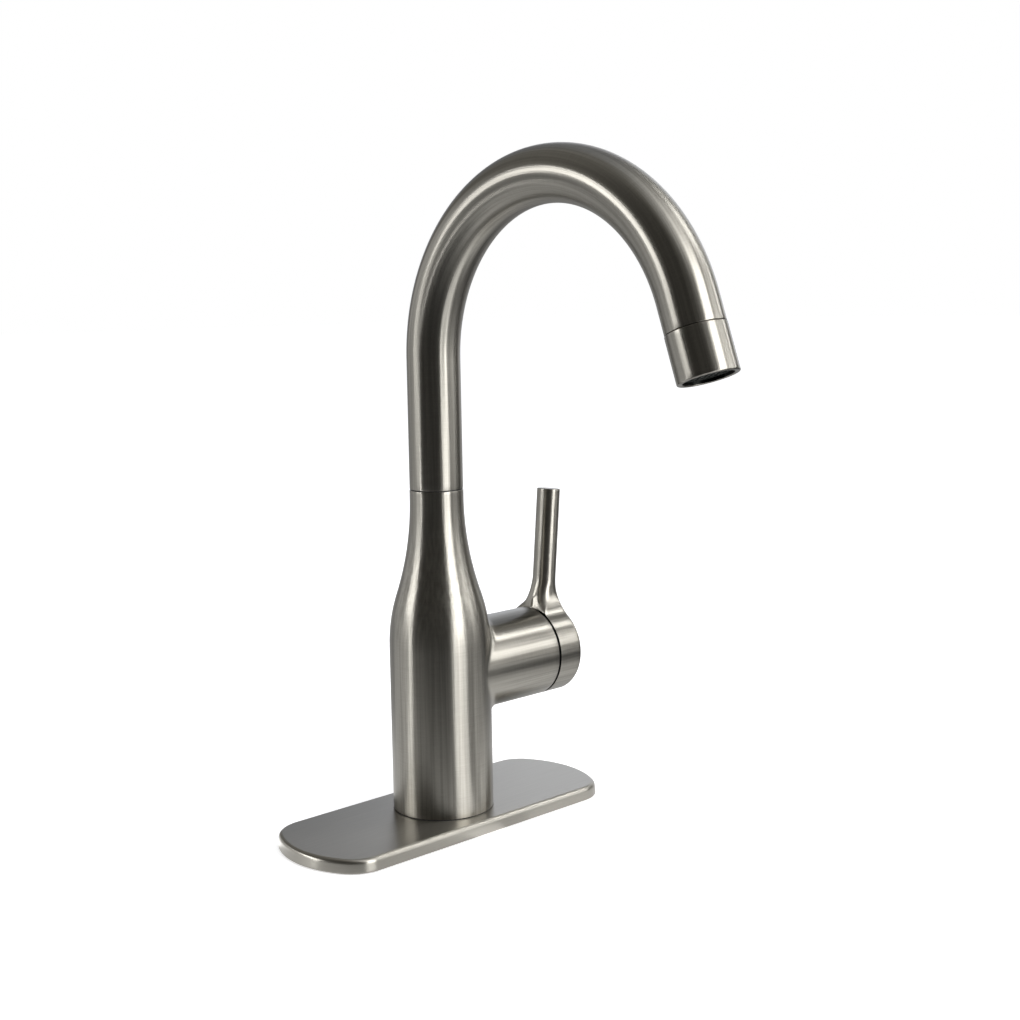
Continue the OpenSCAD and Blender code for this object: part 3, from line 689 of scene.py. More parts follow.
def faucet_body_sheets(s):
    """Two sheets that share their edges. The first is the turned body with its window. The
    second goes from the outer window over the blend, along the valve housing, round its end
    and back down its bore to the inner window. Round a window, points are mixed between the
    window's edge and the joint's curve, in bearing and height, and lie exactly on the
    turned surface. The blend is part of the rolling ball, swept from one touch to the
    other."""
    shell, outer_window, inner_window = body_shell_sheet(s)
    e = s.edge
    i, j = rim_walk(WINDOW_ROWS, WINDOW_HALF)
    theta = TURN * j / BODY_COLUMNS
    rim_z = outer_window[i]
    # bearing round the housing's axis; the shares spread the columns evenly round it
    phi = np.unwrap(np.arctan2((rim_z - s.arm_height) * 0.72, s.radius * theta * 0.62))
    centre, on_body, on_arm, touch_theta, touch_z = ball_contacts(
        phi, lambda h: body_radius(h, s), s
    )
    k = (1 - np.linspace(0, 1, 14) ** 0.8)[:, None]
    around, height = mix(touch_theta, theta, k), mix(touch_z, rim_z, k)
    patch = np.stack([
        body_radius(height, s) * np.cos(around), body_radius(height, s) * np.sin(around), height
    ], -1)
    a, b = unit(on_body - centre), unit(on_arm - centre)
    turn = np.arccos(np.clip((a * b).sum(-1), -1, 1))[:, None]
    k = np.linspace(0, 1, 12)[:, None, None]
    swept = (np.sin((1 - k) * turn) * a + np.sin(k * turn) * b) / np.sin(turn)
    fillet = centre + s.blend * swept
    k = np.linspace(0, 1, 14)[1:, None]
    arm = housing_rings(s, phi, mix(on_arm[:, 0], s.arm_end - e, k), s.arm_radius)
    lip = polyline(
        arc(e, (s.arm_end - e, s.arm_radius - e), math.pi / 2, 0, 4)[1:], (s.arm_end, s.arm_bore)
    )
    end = housing_rings(s, phi, lip[:, :1], lip[:, 1:])
    y, h = s.arm_bore * np.cos(phi), s.arm_height + s.arm_bore * np.sin(phi)
    inner_x = np.sqrt(s.cavity**2 - y**2)
    k = np.linspace(0, 1, 8)[1:, None]
    bore = housing_rings(s, phi, mix(s.arm_end, inner_x, k), s.arm_bore)
    k = np.linspace(0, 1, 6)[1:, None]
    around, height = mix(np.arctan2(y, inner_x), theta, k), mix(h, inner_window[i], k)
    back = np.stack([s.cavity * np.cos(around), s.cavity * np.sin(around), height], -1)
    branch = np.concatenate([patch, fillet[1:], arm, end, bore, back])

    row = np.arange(len(branch))
    joint, arm_stop = len(patch) + len(fillet), len(patch) + len(fillet) + len(arm)
    into = smooth((row - 2) / (joint - 3.0))[:, None, None]
    up, out = np.array([0, 0, 1.0]), np.array([1.0, 0, 0])
    blur = unit(mix(up, out, np.broadcast_to(into, branch.shape)))
    face = (row > arm_stop) & (row <= arm_stop + 3)
    radial = np.stack([0 * phi, np.cos(phi), np.sin(phi)], -1)
    blur = np.where(face[:, None, None], radial[None], blur)
    on_housing = (row >= len(patch) + len(fillet) // 2)[:, None, None]
    grain = np.where(on_housing, branch[..., [1, 2, 0]], branch)
    # the lines fade in the middle of the blend, where the belt can't reach
    middle = len(patch) + len(fillet) / 2
    lines = smooth(np.abs(row - middle) / (len(fillet) / 2 + 6.0))[:, None]
    # from the housing's end face inwards, its bore and the cavity's wall behind it get the painted shade
    unshaded = (row < arm_stop + 2)[:, None]
    return [shell, Sheet(branch, grain, blur, lines, unshaded=unshaded)]


def gooseneck(s):
    """Place function of the spout's axis: up, round the bend towards -Y, and down its tip.
    Its parameter is the length along the axis from the tube's lower end."""
    def place(along):
        a = np.clip((along - s.rise) / s.bend_radius, 0, s.bend_angle)
        before = np.minimum(along - s.rise, 0)
        after = np.maximum(along - s.rise - s.bend_radius * s.bend_angle, 0)
        ahead = np.stack([0 * a, -np.sin(a), np.cos(a)], -1)
        away = np.stack([0 * a, np.cos(a), np.sin(a)], -1)
        hub = np.array([0, -s.bend_radius, s.start + s.rise])
        centre = hub + s.bend_radius * away + (before + after)[:, None] * ahead
        return centre, np.tile([1.0, 0, 0], (len(a), 1)), away, ahead

    return place


HUB_POINTS, FLARE_POINTS, ROD_POINTS = 78, 26, 44
BACK_ROWS, BACK_EDGE_ROWS, SIDE_ROWS, FRONT_EDGE_ROWS, FRONT_ROWS = 6, 9, 5, 11, 10


def lever_outline(s):
    """The lever's outline in the YZ plane, right half: the hub's circle, a flare arc that
    touches it and the rod, the rod's side and its tip. Gives its points, its outward
    normals and the bearings of the hub's points."""
    hub_radius, rod, flare = s.hub_radius, s.rod_half, s.flare
    flare_y = rod + flare
    flare_z = math.sqrt((hub_radius + flare) ** 2 - flare_y**2)
    join = math.atan2(flare_z, flare_y)
    hub_a = np.linspace(-math.pi / 2, join, HUB_POINTS)
    hub = np.stack([np.cos(hub_a), np.sin(hub_a)], -1)
    flare_a = np.linspace(join + math.pi, math.pi, FLARE_POINTS)[1:]
    ray = np.stack([np.cos(flare_a), np.sin(flare_a)], -1)
    top = s.rod_length - s.rod_edge
    rod_z = np.linspace(flare_z, top, ROD_POINTS)[1:]
    tip = arc(s.rod_edge, (rod - s.rod_edge, top), 0, math.pi / 2, 5)[1:]
    lid_y = np.linspace(rod - s.rod_edge, 0, 5)[1:]
    points = polyline(
        hub_radius * hub, np.array([flare_y, flare_z]) + flare * ray,
        np.stack([np.full(len(rod_z), rod), rod_z], -1), tip,
        np.stack([lid_y, np.full(len(lid_y), s.rod_length)], -1),
    )
    side = np.tile([1.0, 0], (len(rod_z) + len(tip) + len(lid_y), 1))
    return points, polyline(hub, -ray, side), hub_a


def eased(height, start_mm, rise_mm):
    """A smooth step from 0 at the start to 1 at start + rise. With a negative rise it falls
    instead, from 1 at start + rise to 0 at the start. Both are in millimetres."""
    return smooth((height - start_mm * MM) / (rise_mm * MM))


def rodness(z):
    """0 where the lever is a hub and 1 where it is a rod."""
    return eased(z, 20, 18)


def lever_skin(s, outline, outward, ring, on_ring):
    """Half of the lever's skin. At each point of the outline it runs across the lever's
    thickness: from the inner line on the back face round an edge of radius rb, along the
    side, round an edge of radius rf and over the front face. On the rod both radii are the
    rod's own, so the section is an oval. In the flare each point is then moved half the way
    to the mean of its four neighbours and 0.53 of the way back, 24 times, which smooths it
    without shrinking it."""
    rod, lean = s.rod_half, math.tan(s.rod_lean)
    oval = s.rod_depth / rod
    z = outline[:, 1]
    on_tip = np.arange(len(outline)) >= HUB_POINTS + FLARE_POINTS + ROD_POINTS - 2
    wide = np.where(on_tip, outline[:, 0], rod)

    def back_x(height):
        return mix(s.rim, s.rod_foot + lean * height - oval * wide, rodness(height))

    def front_x(height):
        return mix(s.hub_end, s.rod_foot + lean * height + oval * wide, rodness(height))

    late = rodness(z)
    early = eased(z, 20, 6.5)
    rb, rf = mix(s.rim_edge, wide, early), mix(s.hub_edge, wide, late)
    db, df = rb * mix(1, oval, early), rf * mix(1, oval, late)
    spine_z = z * eased(z, 12, 22)
    xb, xf = back_x(z), front_x(z)
    ring_x = np.where(on_ring, s.rim, back_x(ring[:, 1]))

    def row(x, q):
        return np.stack([x, q[:, 0], q[:, 1]], -1)

    rows = [
        row(mix(ring_x, xb, k), mix(ring, outline - rb[:, None] * outward, k))
        for k in np.linspace(0, 1, BACK_ROWS + 1)[:-1]
    ]
    rows += [
        row(xb + db * (1 - math.cos(a)), outline - (rb * (1 - math.sin(a)))[:, None] * outward)
        for a in np.linspace(0, math.pi / 2, BACK_EDGE_ROWS)
    ]
    rows += [
        row(mix(xb + db, xf - df, k), outline) for k in np.linspace(0, 1, SIDE_ROWS + 2)[1:-1]
    ]
    rows += [
        row(xf - df * (1 - math.sin(a)), outline - (rf * (1 - math.cos(a)))[:, None] * outward)
        for a in np.linspace(0, math.pi / 2, FRONT_EDGE_ROWS)
    ]
    spine = np.stack([np.zeros(len(outline)), spine_z], -1)
    rows += [
        row(mix(xf, front_x(spine_z), k), mix(outline - rf[:, None] * outward, spine, k))
        for k in np.linspace(0, 1, FRONT_ROWS + 1)[1:]
    ]
    skin = np.array(rows)

    height = skin[..., 2:]
    relax = eased(height, 21, 4) * eased(height, 44, -8)
    for step in 24 * (0.5, -0.53):
        mean = skin.copy()
        mean[1:-1, 1:-1] = (
            skin[:-2, 1:-1] + skin[2:, 1:-1] + skin[1:-1, :-2] + skin[1:-1, 2:]
        ) / 4
        skin = mix(skin, mean, step * relax)
    # where both rounded edges meet in the middle plane, the rows between them are one line,
    # and in the flare below that they keep a hair's breadth apart
    back = skin[: BACK_ROWS + 1]
    front = skin[: -FRONT_ROWS - 2 : -1]
    for part, radius in ((back, rb), (front, rf)):
        met = ~on_ring & (outline[:, 0] - radius < 0.3 * MM)
        part[:, met] = part[0, met]
        apart = 0.01 * MM * np.arange(len(part))[:, None]
        inside = (z > 20 * MM) & (z < 46 * MM) & ~met
        part[:, inside, 1] = np.maximum(part[:, inside, 1], apart)
    # the rod's sections turn square to its lean
    square = eased(skin[..., 2], 34, 26)
    middle = s.rod_foot + lean * skin[..., 2]
    skin[..., 2] -= lean * (skin[..., 0] - middle) * square
    return skin


def lever_finish(s, skin, on_lid):
    """Brush lines of the lever's skin: round the hub and along its depth, out from the
    middle on its front face, and across the rod. Gives the lines' coordinates, the
    direction of the blur and the lines' strength."""
    hub_radius, lean = s.hub_radius, math.tan(s.rod_lean)
    # the front begins just past the middle of its rounded edge
    first_front = BACK_ROWS + BACK_EDGE_ROWS + SIDE_ROWS + FRONT_EDGE_ROWS // 2 + 1
    flat_front = (np.arange(len(skin)) >= first_front)[:, None]
    blend = rodness(skin[..., 2])
    radial = unit(np.concatenate([0 * skin[..., :1], skin[..., 1:]], -1) + 1e-9)
    hub_blur = np.where(flat_front[..., None], radial, np.array([1.0, 0, 0]))
    rod_blur = np.array([lean, 0, 1.0])
    blur = unit(mix(hub_blur, rod_blur, blend[..., None]))
    spread = np.linalg.norm(skin[..., 1:], axis=-1)
    bearing = skin[..., 1:] * np.where(flat_front, hub_radius / np.maximum(spread, MM), 1)[..., None]
    depth = skin[..., 0] - np.where(flat_front, spread, hub_radius)
    hub_grain = np.concatenate([bearing, depth[..., None]], -1)
    rod_grain = np.stack([skin[..., 1], skin[..., 0], skin[..., 2]], -1)
    grain = np.where(blend[..., None] > 0.5, rod_grain, hub_grain)
    lines = np.clip(np.abs(blend - 0.5) * 2, 0, 1) ** 2
    lines = lines * np.where(flat_front, 0.4 * smooth(spread / hub_radius), 1)
    lines[:, on_lid] *= 0.2
    return grain, blur, lines


def lever_recess(s, ring_r, around, axis_height):
    """The hub's inside: a sphere about the lever's pivot, turned about the valve axis, down
    to the boss and into its socket. The angles around are those of the skin's rim."""
    socket, deep = 4.6 * MM, s.pivot + s.recess - 0.8 * MM
    a = np.linspace(math.asin(ring_r / s.recess), math.asin(s.boss / s.recess), 16)
    ball = np.stack([s.recess * np.sin(a), s.pivot + s.recess * np.cos(a)], -1)
    inside = polyline(ball, (s.boss, s.rim), (socket, s.rim), (socket, deep), (0, deep))
    r, x = inside[:, :1], inside[:, 1:]
    points = np.stack([
        np.broadcast_to(x, (len(r), len(around))), r * np.cos(around),
        axis_height + r * np.sin(around),
    ], -1)
    blur = unit(np.gradient(points, axis=0) + 1e-9)
    # the whole recess gets the painted shade
    return Sheet(points, points[..., [1, 2, 0]], blur, 0.5, unshaded=0)


def lever_sheets(s, axis_height):
    """The lever's skin, its mirror image and the recess inside the hub. On the back face
    the skin starts at the recess's rim, and above the hub at a line up the middle."""
    outline, outward, hub_a = lever_outline(s)
    n, half_flare = len(outline), FLARE_POINTS // 2
    ring_r = math.sqrt(s.recess**2 - (s.rim - s.pivot) ** 2)
    on_ring = np.arange(n) < HUB_POINTS + half_flare
    ring_a = np.concatenate([
        hub_a, np.linspace(hub_a[-1], math.pi / 2, half_flare + 1)[1:]
    ])
    ring = np.zeros((n, 2))
    ring[on_ring] = ring_r * np.stack([np.cos(ring_a), np.sin(ring_a)], -1)
    climb = (np.arange(n - len(ring_a)) + 1) / (FLARE_POINTS - half_flare)
    ring[~on_ring, 1] = mix(ring_r, outline[~on_ring, 1], smooth(climb))
    skin = lever_skin(s, outline, outward, ring, on_ring)
    grain, blur, lines = lever_finish(s, skin, outline[:, 1] > s.rod_length - 0.01 * MM)
    on_back = (np.arange(len(skin)) <= BACK_ROWS)[:, None]
    # the back face, which faces the housing across the gap, gets the painted shade up to the hub's top;
    # it shows as a dark line at the hub's rim
    unshaded = np.where(on_back, eased(skin[..., 2], 21.4, 1), 1)
    up = np.array([0, 0, axis_height])
    halves = [
        Sheet(skin * (1, sign, 1) + up, grain, blur * (1, sign, 1), lines, wrap=(False, False),
              unshaded=unshaded)
        for sign in (1, -1)
    ]
    around = np.concatenate([ring_a, math.pi - ring_a[-2:0:-1]])
    return halves + [lever_recess(s, ring_r, around, axis_height)]


def plate_outline(s, inset):
    """The plate's outline drawn in by an inset: bowed ends of radius end_radius - inset,
    corners of radius corner_radius - inset, and straight sides."""
    end_radius, corner_radius = s.end_radius, s.corner_radius
    end_x = s.length / 2 - end_radius
    corner_y = s.width / 2 - corner_radius
    corner_x = end_x + math.sqrt((end_radius - corner_radius) ** 2 - corner_y**2)
    turn = math.atan2(corner_y, corner_x - end_x)
    end = arc(end_radius - inset, (end_x, 0), 0, turn, 22)
    corner = arc(corner_radius - inset, (corner_x, corner_y), turn, math.pi / 2, 26)[1:]
    side_x = np.linspace(corner_x, 0, 40)[1:]
    side = np.stack([side_x, np.full(len(side_x), s.width / 2 - inset)], -1)
    quarter = np.concatenate([end, corner, side])
    half = np.concatenate([quarter, quarter[-2::-1] * (-1, 1)])
    return np.concatenate([half, half[-2:0:-1] * (1, -1)])


def plate_sheet(s):
    """The plate's skin: up the skirt, round the top edge, in over the top to the round
    passage, down that, out under the sheet and down the skirt's inside."""
    reach = s.sheet + s.edge_radius / 2
    e, top, under = s.edge_radius, s.top, s.top - s.sheet
    a = np.linspace(0, math.pi / 2, 11)
    foot = 0.3 * MM
    rise = polyline(
        arc(foot, (foot, s.lift + foot), 1.5 * math.pi, math.pi, 4),
        np.stack([np.zeros(4), np.linspace(s.lift + foot, top - e, 6)[1:-1]], -1),
        np.stack([e * (1 - np.cos(a)), top - e + e * np.sin(a)], -1),
    )
    rise[:, 0] += np.minimum(math.tan(s.draft) * (rise[:, 1] - s.lift), e - rise[:, 0])
    rim = plate_outline(s, e)
    # bearing round the passage; the share spreads the columns evenly round it
    bearing = np.unwrap(np.arctan2(rim[:, 1] * 1.9, rim[:, 0]))
    circle = s.hole * np.stack([np.cos(bearing), np.sin(bearing)], -1)
    inner = plate_outline(s, reach)

    def level(outline, z):
        return np.concatenate([outline, np.full((len(outline), 1), z)], -1)

    rows = [level(plate_outline(s, inset), z) for inset, z in rise]
    rows += [level(mix(rim, circle, k), top) for k in np.linspace(0, 1, 24)[1:]]
    rows += [level(circle, under), level(inner, under), level(inner, s.lift)]
    points = np.array(rows)
    row = np.arange(len(rows))
    flat = smooth((row - 6) / (len(rise) - 7))[:, None]
    upright, across = np.array([0, 0, 1.0]), np.array([0, 1.0, 0])
    blur = unit(mix(upright, across, np.broadcast_to(flat[..., None], points.shape)))
    on_top = (row >= len(rise) - 2)[:, None, None]
    grain = np.where(on_top, points[..., [0, 2, 1]], points)
    lines = np.where(flat > 0.5, smooth((flat - 0.7) / 0.3), 0.5)
    return Sheet(points, grain, blur, lines, wrap=(True, True))


class FAUCET_OT_plate(bpy.types.Operator):
    """Makes the pressed deck plate"""

    bl_idname = "faucet.plate"
    bl_label = "Deck plate"

    def execute(self, context):
        s = context.scene.faucet_plate
        # Brushed nickel plating on pressed sheet, brushed straight along the plate
        metal = brushed_nickel(
            "brushed_nickel_flat", context.scene.faucet_finish, 0.3, 30, ripple_mm=0, streak=0
        )
        make_piece(
            "deck_plate_skin", "base", ["deck_plate"], metal, [plate_sheet(s)]
        )
        return {"FINISHED"}


class FAUCET_OT_body(bpy.types.Operator):
    """Makes the body with its valve housing and the blend between them"""

    bl_idname = "faucet.body"
    bl_label = "Body"

    def execute(self, context):
        s = context.scene.faucet_body
        make_piece(
            "body_shell", "base", ["faucet_body"], nickel(),
            faucet_body_sheets(s),
        )
        return {"FINISHED"}


class FAUCET_OT_spout(bpy.types.Operator):
    """Makes the spout tube and the aerator's collar"""

    bl_idname = "faucet.spout"
    bl_label = "Spout"

    def execute(self, context):
        s = context.scene.faucet_spout
        total = s.rise + s.bend_radius * s.bend_angle + s.tip
        r, b, e = s.radius, s.radius - s.wall, s.edge
        corners = [(b, 0), (r, 0), (r, total), (b, total)]
        profile = subdivided(softened(corners, [0, e, e, 0], 3), 2.2 * MM)
        # the tube's inside gets the painted shade
        tube = turned(profile, gooseneck(s), 128, unshaded=profile[:, 0] > r - s.wall / 2)
        make_piece("spout_skin", "spout", ["spout_tube"], nickel(), [tube])
        start = total + s.collar_gap
        stop = start + s.collar_length
        step = stop - s.mouth_depth
        r, t, m, lip = s.collar_radius, s.thread_radius, s.mouth_radius, s.lip
        corners = [(t, start), (r, start), (r, stop), (m, stop), (m, step), (t, step)]
        profile = subdivided(softened(corners, [0, e, lip, lip * 0.6, 0, 0], 4), 2.5 * MM)
        # the mouth's inner wall gets the painted shade
        collar = turned(profile, gooseneck(s), 128, unshaded=profile[:, 0] > m + 1e-6)
        make_piece(
            "aerator_collar", "spout", ["aerator_housing"], nickel(), [collar]
        )
        return {"FINISHED"}


class FAUCET_OT_lever(bpy.types.Operator):
    """Makes the lever with its hub and the plug over its set screw"""

    bl_idname = "faucet.lever"
    bl_label = "Lever"

    def execute(self, context):
        s, height = context.scene.faucet_lever, context.scene.faucet_body.arm_height
        make_piece("lever_skin", "lever", ["lever_handle"], nickel(),
                   lever_sheets(s, height), crease=50)
        # the plug is turned about its own axis, then bowed to follow the hub's surface
        r, skin = s.plug, s.hub_radius
        foot, top = skin - 2.4 * MM, skin + 0.02 * MM
        corners = [(0, foot), (r, foot), (r, top), (0, top)]
        profile = subdivided(softened(corners, [0, 0, 0.3 * MM, 0], 4), 0.8 * MM)
        on_axis = np.flatnonzero(profile[:, 0] < 1e-9)
        place = straight((s.pivot + s.screw, 0, height), (0, 0, -1), (1, 0, 0))
        cap = turned(profile[: on_axis[1] + 1], place, 48, closed=False)
        y = cap.points[..., 1]
        cap.points[..., 2] += (skin - np.sqrt(skin**2 - y**2)) * 0.8
        make_piece("screw_plug", "lever", ["set_screw_plug"], nickel(), [cap])
        return {"FINISHED"}


class FAUCET_OT_inner_parts(bpy.types.Operator):
    """Gives the rings, seals, cartridge and fittings their materials"""

    bl_idname = "faucet.inner_parts"
    bl_label = "Inner parts"

    def execute(self, context):
        f = context.scene.faucet_finish
        # Nitrile rubber, moulded: matt, with the fine grit of its mould
        dress(moulded("nitrile_rubber_moulded", tuple(f.rubber), 0.62, 1.52, 0.25, 0.01),
              "deck_gasket", "body_foot_ring", "riser_seal", "cartridge_seals", "spout_o_rings",
              "aerator_washer")
        # Black acetal, moulded: satin, almost smooth
        dress(moulded("black_acetal_moulded", tuple(f.black), 0.38, 1.48, 0.4, 0.004),
              "spout_washer", "bonnet_dome", "trim_ring")
        # Glass-filled nylon, moulded: dark grey with a slight fibre grain
        dress(moulded("glass_filled_nylon_moulded", tuple(f.grey), 0.5, 1.53, 0.3, 0.02),
              "deck_plate_base", "stem_carrier")
        # Acetal of the aerator, moulded: dark, greenish and satin
        dress(moulded("aerator_acetal_moulded", tuple(f.screen), 0.45, 1.48, 0.4, 0.004),
              "aerator_insert", "aerator_screen")
        # Natural acetal, moulded: milky and slightly waxy
        dress(moulded("natural_acetal_moulded", tuple(f.white), 0.42, 1.48, 0.5, 0.005),
              "spout_bearing_sleeve", "cartridge_base", "cartridge_case", "disc_driver")
        # Alumina ceramic, lapped: cream white, almost mirror flat
        dress(moulded("alumina_lapped", tuple(f.ceramic), 0.16, 1.76, 0.15, 0.001),
              "fixed_disc", "moving_disc")
        # Machined brass: yellow, with the rings that the tool leaves
        dress(turned_metal("brass_machined_upright", tuple(f.brass), 0.28, 0.3, "Z"),
              "foot_block", "spout_shank")
        dress(turned_metal("brass_machined_level", tuple(f.brass), 0.28, 0.3, "X"),
              "valve_manifold", "bonnet_nut", "spout_outlet_adapter")
        # Drawn copper tube: reddish, drawn smooth
        dress(turned_metal("copper_drawn", tuple(f.copper), 0.24, 9, "Z"),
              "hot_inlet_tube", "cold_inlet_tube", "outlet_riser")
        # Turned stainless steel: cool grey, fine rings
        dress(turned_metal("stainless_turned", tuple(f.steel), 0.26, 0.2, "X"),
              "lever_stem", "stem_pin", "handle_set_screw", "spout_retaining_ring")
        return {"FINISHED"}


# ---------------------------------------------------------------- stage


def bearing_vector(heading, degrees, elevation):
    """Direction whose bearing is measured from the camera's side towards the right."""
    a = heading + math.pi + math.radians(degrees)
    e = math.radians(elevation)
    return Vector((math.cos(a) * math.cos(e), math.sin(a) * math.cos(e), math.sin(e)))


def photo_camera(scene, s):
    """The photograph's camera: it stands at the eye, looks along the heading, tilted down,
    and is rolled about its line of sight."""
    ahead = Vector((
        math.cos(s.heading) * math.cos(s.tilt), math.sin(s.heading) * math.cos(s.tilt),
        -math.sin(s.tilt),
    ))
    level = Vector((math.sin(s.heading), -math.cos(s.heading), 0))
    above = level.cross(ahead)
    right = math.cos(s.roll) * level + math.sin(s.roll) * above
    up = right.cross(ahead)
    data = bpy.data.cameras.new("photo_camera")
    data.sensor_width, data.lens, data.shift_y = 36, s.lens, s.shift
    data.clip_start, data.clip_end = 0.01, 100
    camera = bpy.data.objects.new("photo_camera", data)
    turn = Matrix((right, up, -ahead)).transposed()
    camera.matrix_world = Matrix.Translation(Vector(s.eye)) @ turn.to_4x4()
    scene.collection.objects.link(camera)
    scene.camera = camera


def painted_floor_light(tree, place, heading):
    """The painted light that the floor shows in the metal: a painted pool of light round the
    object, painted dimmer in front and with a wide painted patch behind, and narrow painted
    patches of light that run out from the middle. Each is a smooth step of the distance from
    the middle or of the cosine of the bearing, and the brightest of them counts."""
    spread = add_node(tree, "ShaderNodeVectorMath", {0: place}, operation="LENGTH")
    pool = add_node(tree, "ShaderNodeMapRange", {
        "Value": spread.outputs["Value"], "From Min": 0.11, "From Max": 0.30,
        "To Min": 0.85, "To Max": 0.10,
    }, interpolation_type="SMOOTHSTEP")
    behind = add_node(tree, "ShaderNodeVectorMath", {
        0: place, 1: bearing_vector(heading, -145, 0),
    }, operation="DOT_PRODUCT")
    # painted shade: the pool is painted dimmer in front of the object
    front = add_node(tree, "ShaderNodeMapRange", {
        "Value": behind.outputs["Value"], "From Min": -0.12, "From Max": -0.02,
        "To Min": 0.4, "To Max": 1.0,
    }, interpolation_type="SMOOTHSTEP")
    pool = add_node(tree, "ShaderNodeMath", {
        0: pool.outputs["Result"], 1: front.outputs["Result"],
    }, operation="MULTIPLY")
    rear = add_node(tree, "ShaderNodeMapRange", {
        "Value": behind.outputs["Value"], "From Min": 0.0, "From Max": 0.2,
        "To Min": 0.0, "To Max": 0.4,
    }, interpolation_type="SMOOTHSTEP")
    level = add_node(tree, "ShaderNodeMath", {
        0: pool.outputs[0], 1: rear.outputs["Result"],
    }, operation="MAXIMUM")
    toward = add_node(tree, "ShaderNodeVectorMath", {0: place}, operation="NORMALIZE")
    # bearing, half width and softness in degrees, level, and where the patch starts and
    # ends, in metres from the object's middle
    for bearing, half, soft, glow, start, stop in (
        (46, 13, 7, 1.6, 0.0, 9.0),
        (-70, 3, 3, 2.3, 0.0, 0.35),
        (-103, 17, 6, 0.75, 0.0, 0.9),
        (80, 15, 10, 0.4, 0.55, 9.0),
        (98, 14, 10, 1.1, 0.0, 0.13),
    ):
        ahead = add_node(tree, "ShaderNodeVectorMath", {
            0: toward.outputs["Vector"], 1: bearing_vector(heading, bearing, 0),
        }, operation="DOT_PRODUCT")
        ray = add_node(tree, "ShaderNodeMapRange", {
            "Value": ahead.outputs["Value"], "To Min": 0.0, "To Max": glow,
            "From Min": math.cos(math.radians(half + soft)),
            "From Max": math.cos(math.radians(half)),
        }, interpolation_type="SMOOTHSTEP")
        rise = add_node(tree, "ShaderNodeMapRange", {
            "Value": spread.outputs["Value"], "From Min": start - 0.1, "From Max": start,
            "To Min": 0.0, "To Max": 1.0,
        })
        fall = add_node(tree, "ShaderNodeMapRange", {
            "Value": spread.outputs["Value"], "From Min": stop, "From Max": stop + 0.15,
            "To Min": 1.0, "To Max": 0.12,
        })
        fade = add_node(tree, "ShaderNodeMath", {
            0: rise.outputs["Result"], 1: fall.outputs["Result"],
        }, operation="MULTIPLY")
        ray = add_node(tree, "ShaderNodeMath", {
            0: ray.outputs["Result"], 1: fade.outputs[0],
        }, operation="MULTIPLY")
        level = add_node(tree, "ShaderNodeMath", {
            0: level.outputs[0], 1: ray.outputs[0],
        }, operation="MAXIMUM")
    return level.outputs[0]


def board_with_painted_light(heading, colour):
    """Painted board: pale and matt. The camera sees it white, with the object's shadow; in
    the metal it shows painted light instead: it glows with the painted pool and patches of
    light, without the lamps' light or the object's shadow."""
    lift = 0.42  # what the camera sees above the paint's own brightness, which makes it white
    made, tree, out = new_material("floor_board_with_painted_light")
    path = add_node(tree, "ShaderNodeLightPath")
    place = add_node(tree, "ShaderNodeTexCoord")
    level = painted_floor_light(tree, place.outputs["Object"], heading)
    # painted light: glossy rays see this glow in place of the lit paint
    painted_glow = add_node(tree, "ShaderNodeEmission", {"Color": (1, 1, 1, 1), "Strength": level})
    glow = add_node(tree, "ShaderNodeMath", {
        0: path.outputs["Is Camera Ray"], 1: lift,
    }, operation="MULTIPLY")
    shine = add_node(tree, "ShaderNodeEmission", {
        "Color": (1, 1, 1, 1), "Strength": glow.outputs[0],
    })
    paint = add_node(tree, "ShaderNodeBsdfDiffuse", {"Color": colour})
    both = add_node(tree, "ShaderNodeAddShader", {0: shine.outputs[0], 1: paint.outputs[0]})
    board = add_node(tree, "ShaderNodeMixShader", {
        "Fac": path.outputs["Is Glossy Ray"], 1: both.outputs[0], 2: painted_glow.outputs[0],
    })
    tree.links.new(board.outputs[0], out.inputs["Surface"])
    return made


def studio_floor(scene, material):
    """A plain square floor just under the deck gasket."""
    half, low = 12.0, -0.05 * MM
    corners = [(-half, -half, low), (half, -half, low), (half, half, low), (-half, half, low)]
    mesh = bpy.data.meshes.new("floor")
    mesh.from_pydata(corners, [], [(0, 1, 2, 3)])
    mesh.materials.append(material)
    floor = bpy.data.objects.new("floor", mesh)
    scene.collection.objects.link(floor)


def soft_box(name, heading, bearing, elevation, distance, size, power, roll=0.0):
    """A rectangular lamp at a bearing and elevation from the object's middle, facing it."""
    middle = Vector((0, -0.04, 0.16))
    lamp = bpy.data.lights.new(name, "AREA")
    lamp.shape = "RECTANGLE"
    lamp.size, lamp.size_y = size
    lamp.energy = power
    made = bpy.data.objects.new(name, lamp)
    bpy.context.scene.collection.objects.link(made)
    away = bearing_vector(heading, bearing, elevation)
    facing = away.to_track_quat("Z", "Y").to_matrix().to_4x4()
    spin = Matrix.Rotation(math.radians(roll), 4, "Z")
    made.matrix_world = Matrix.Translation(middle + away * distance) @ facing @ spin
    made.visible_camera = False


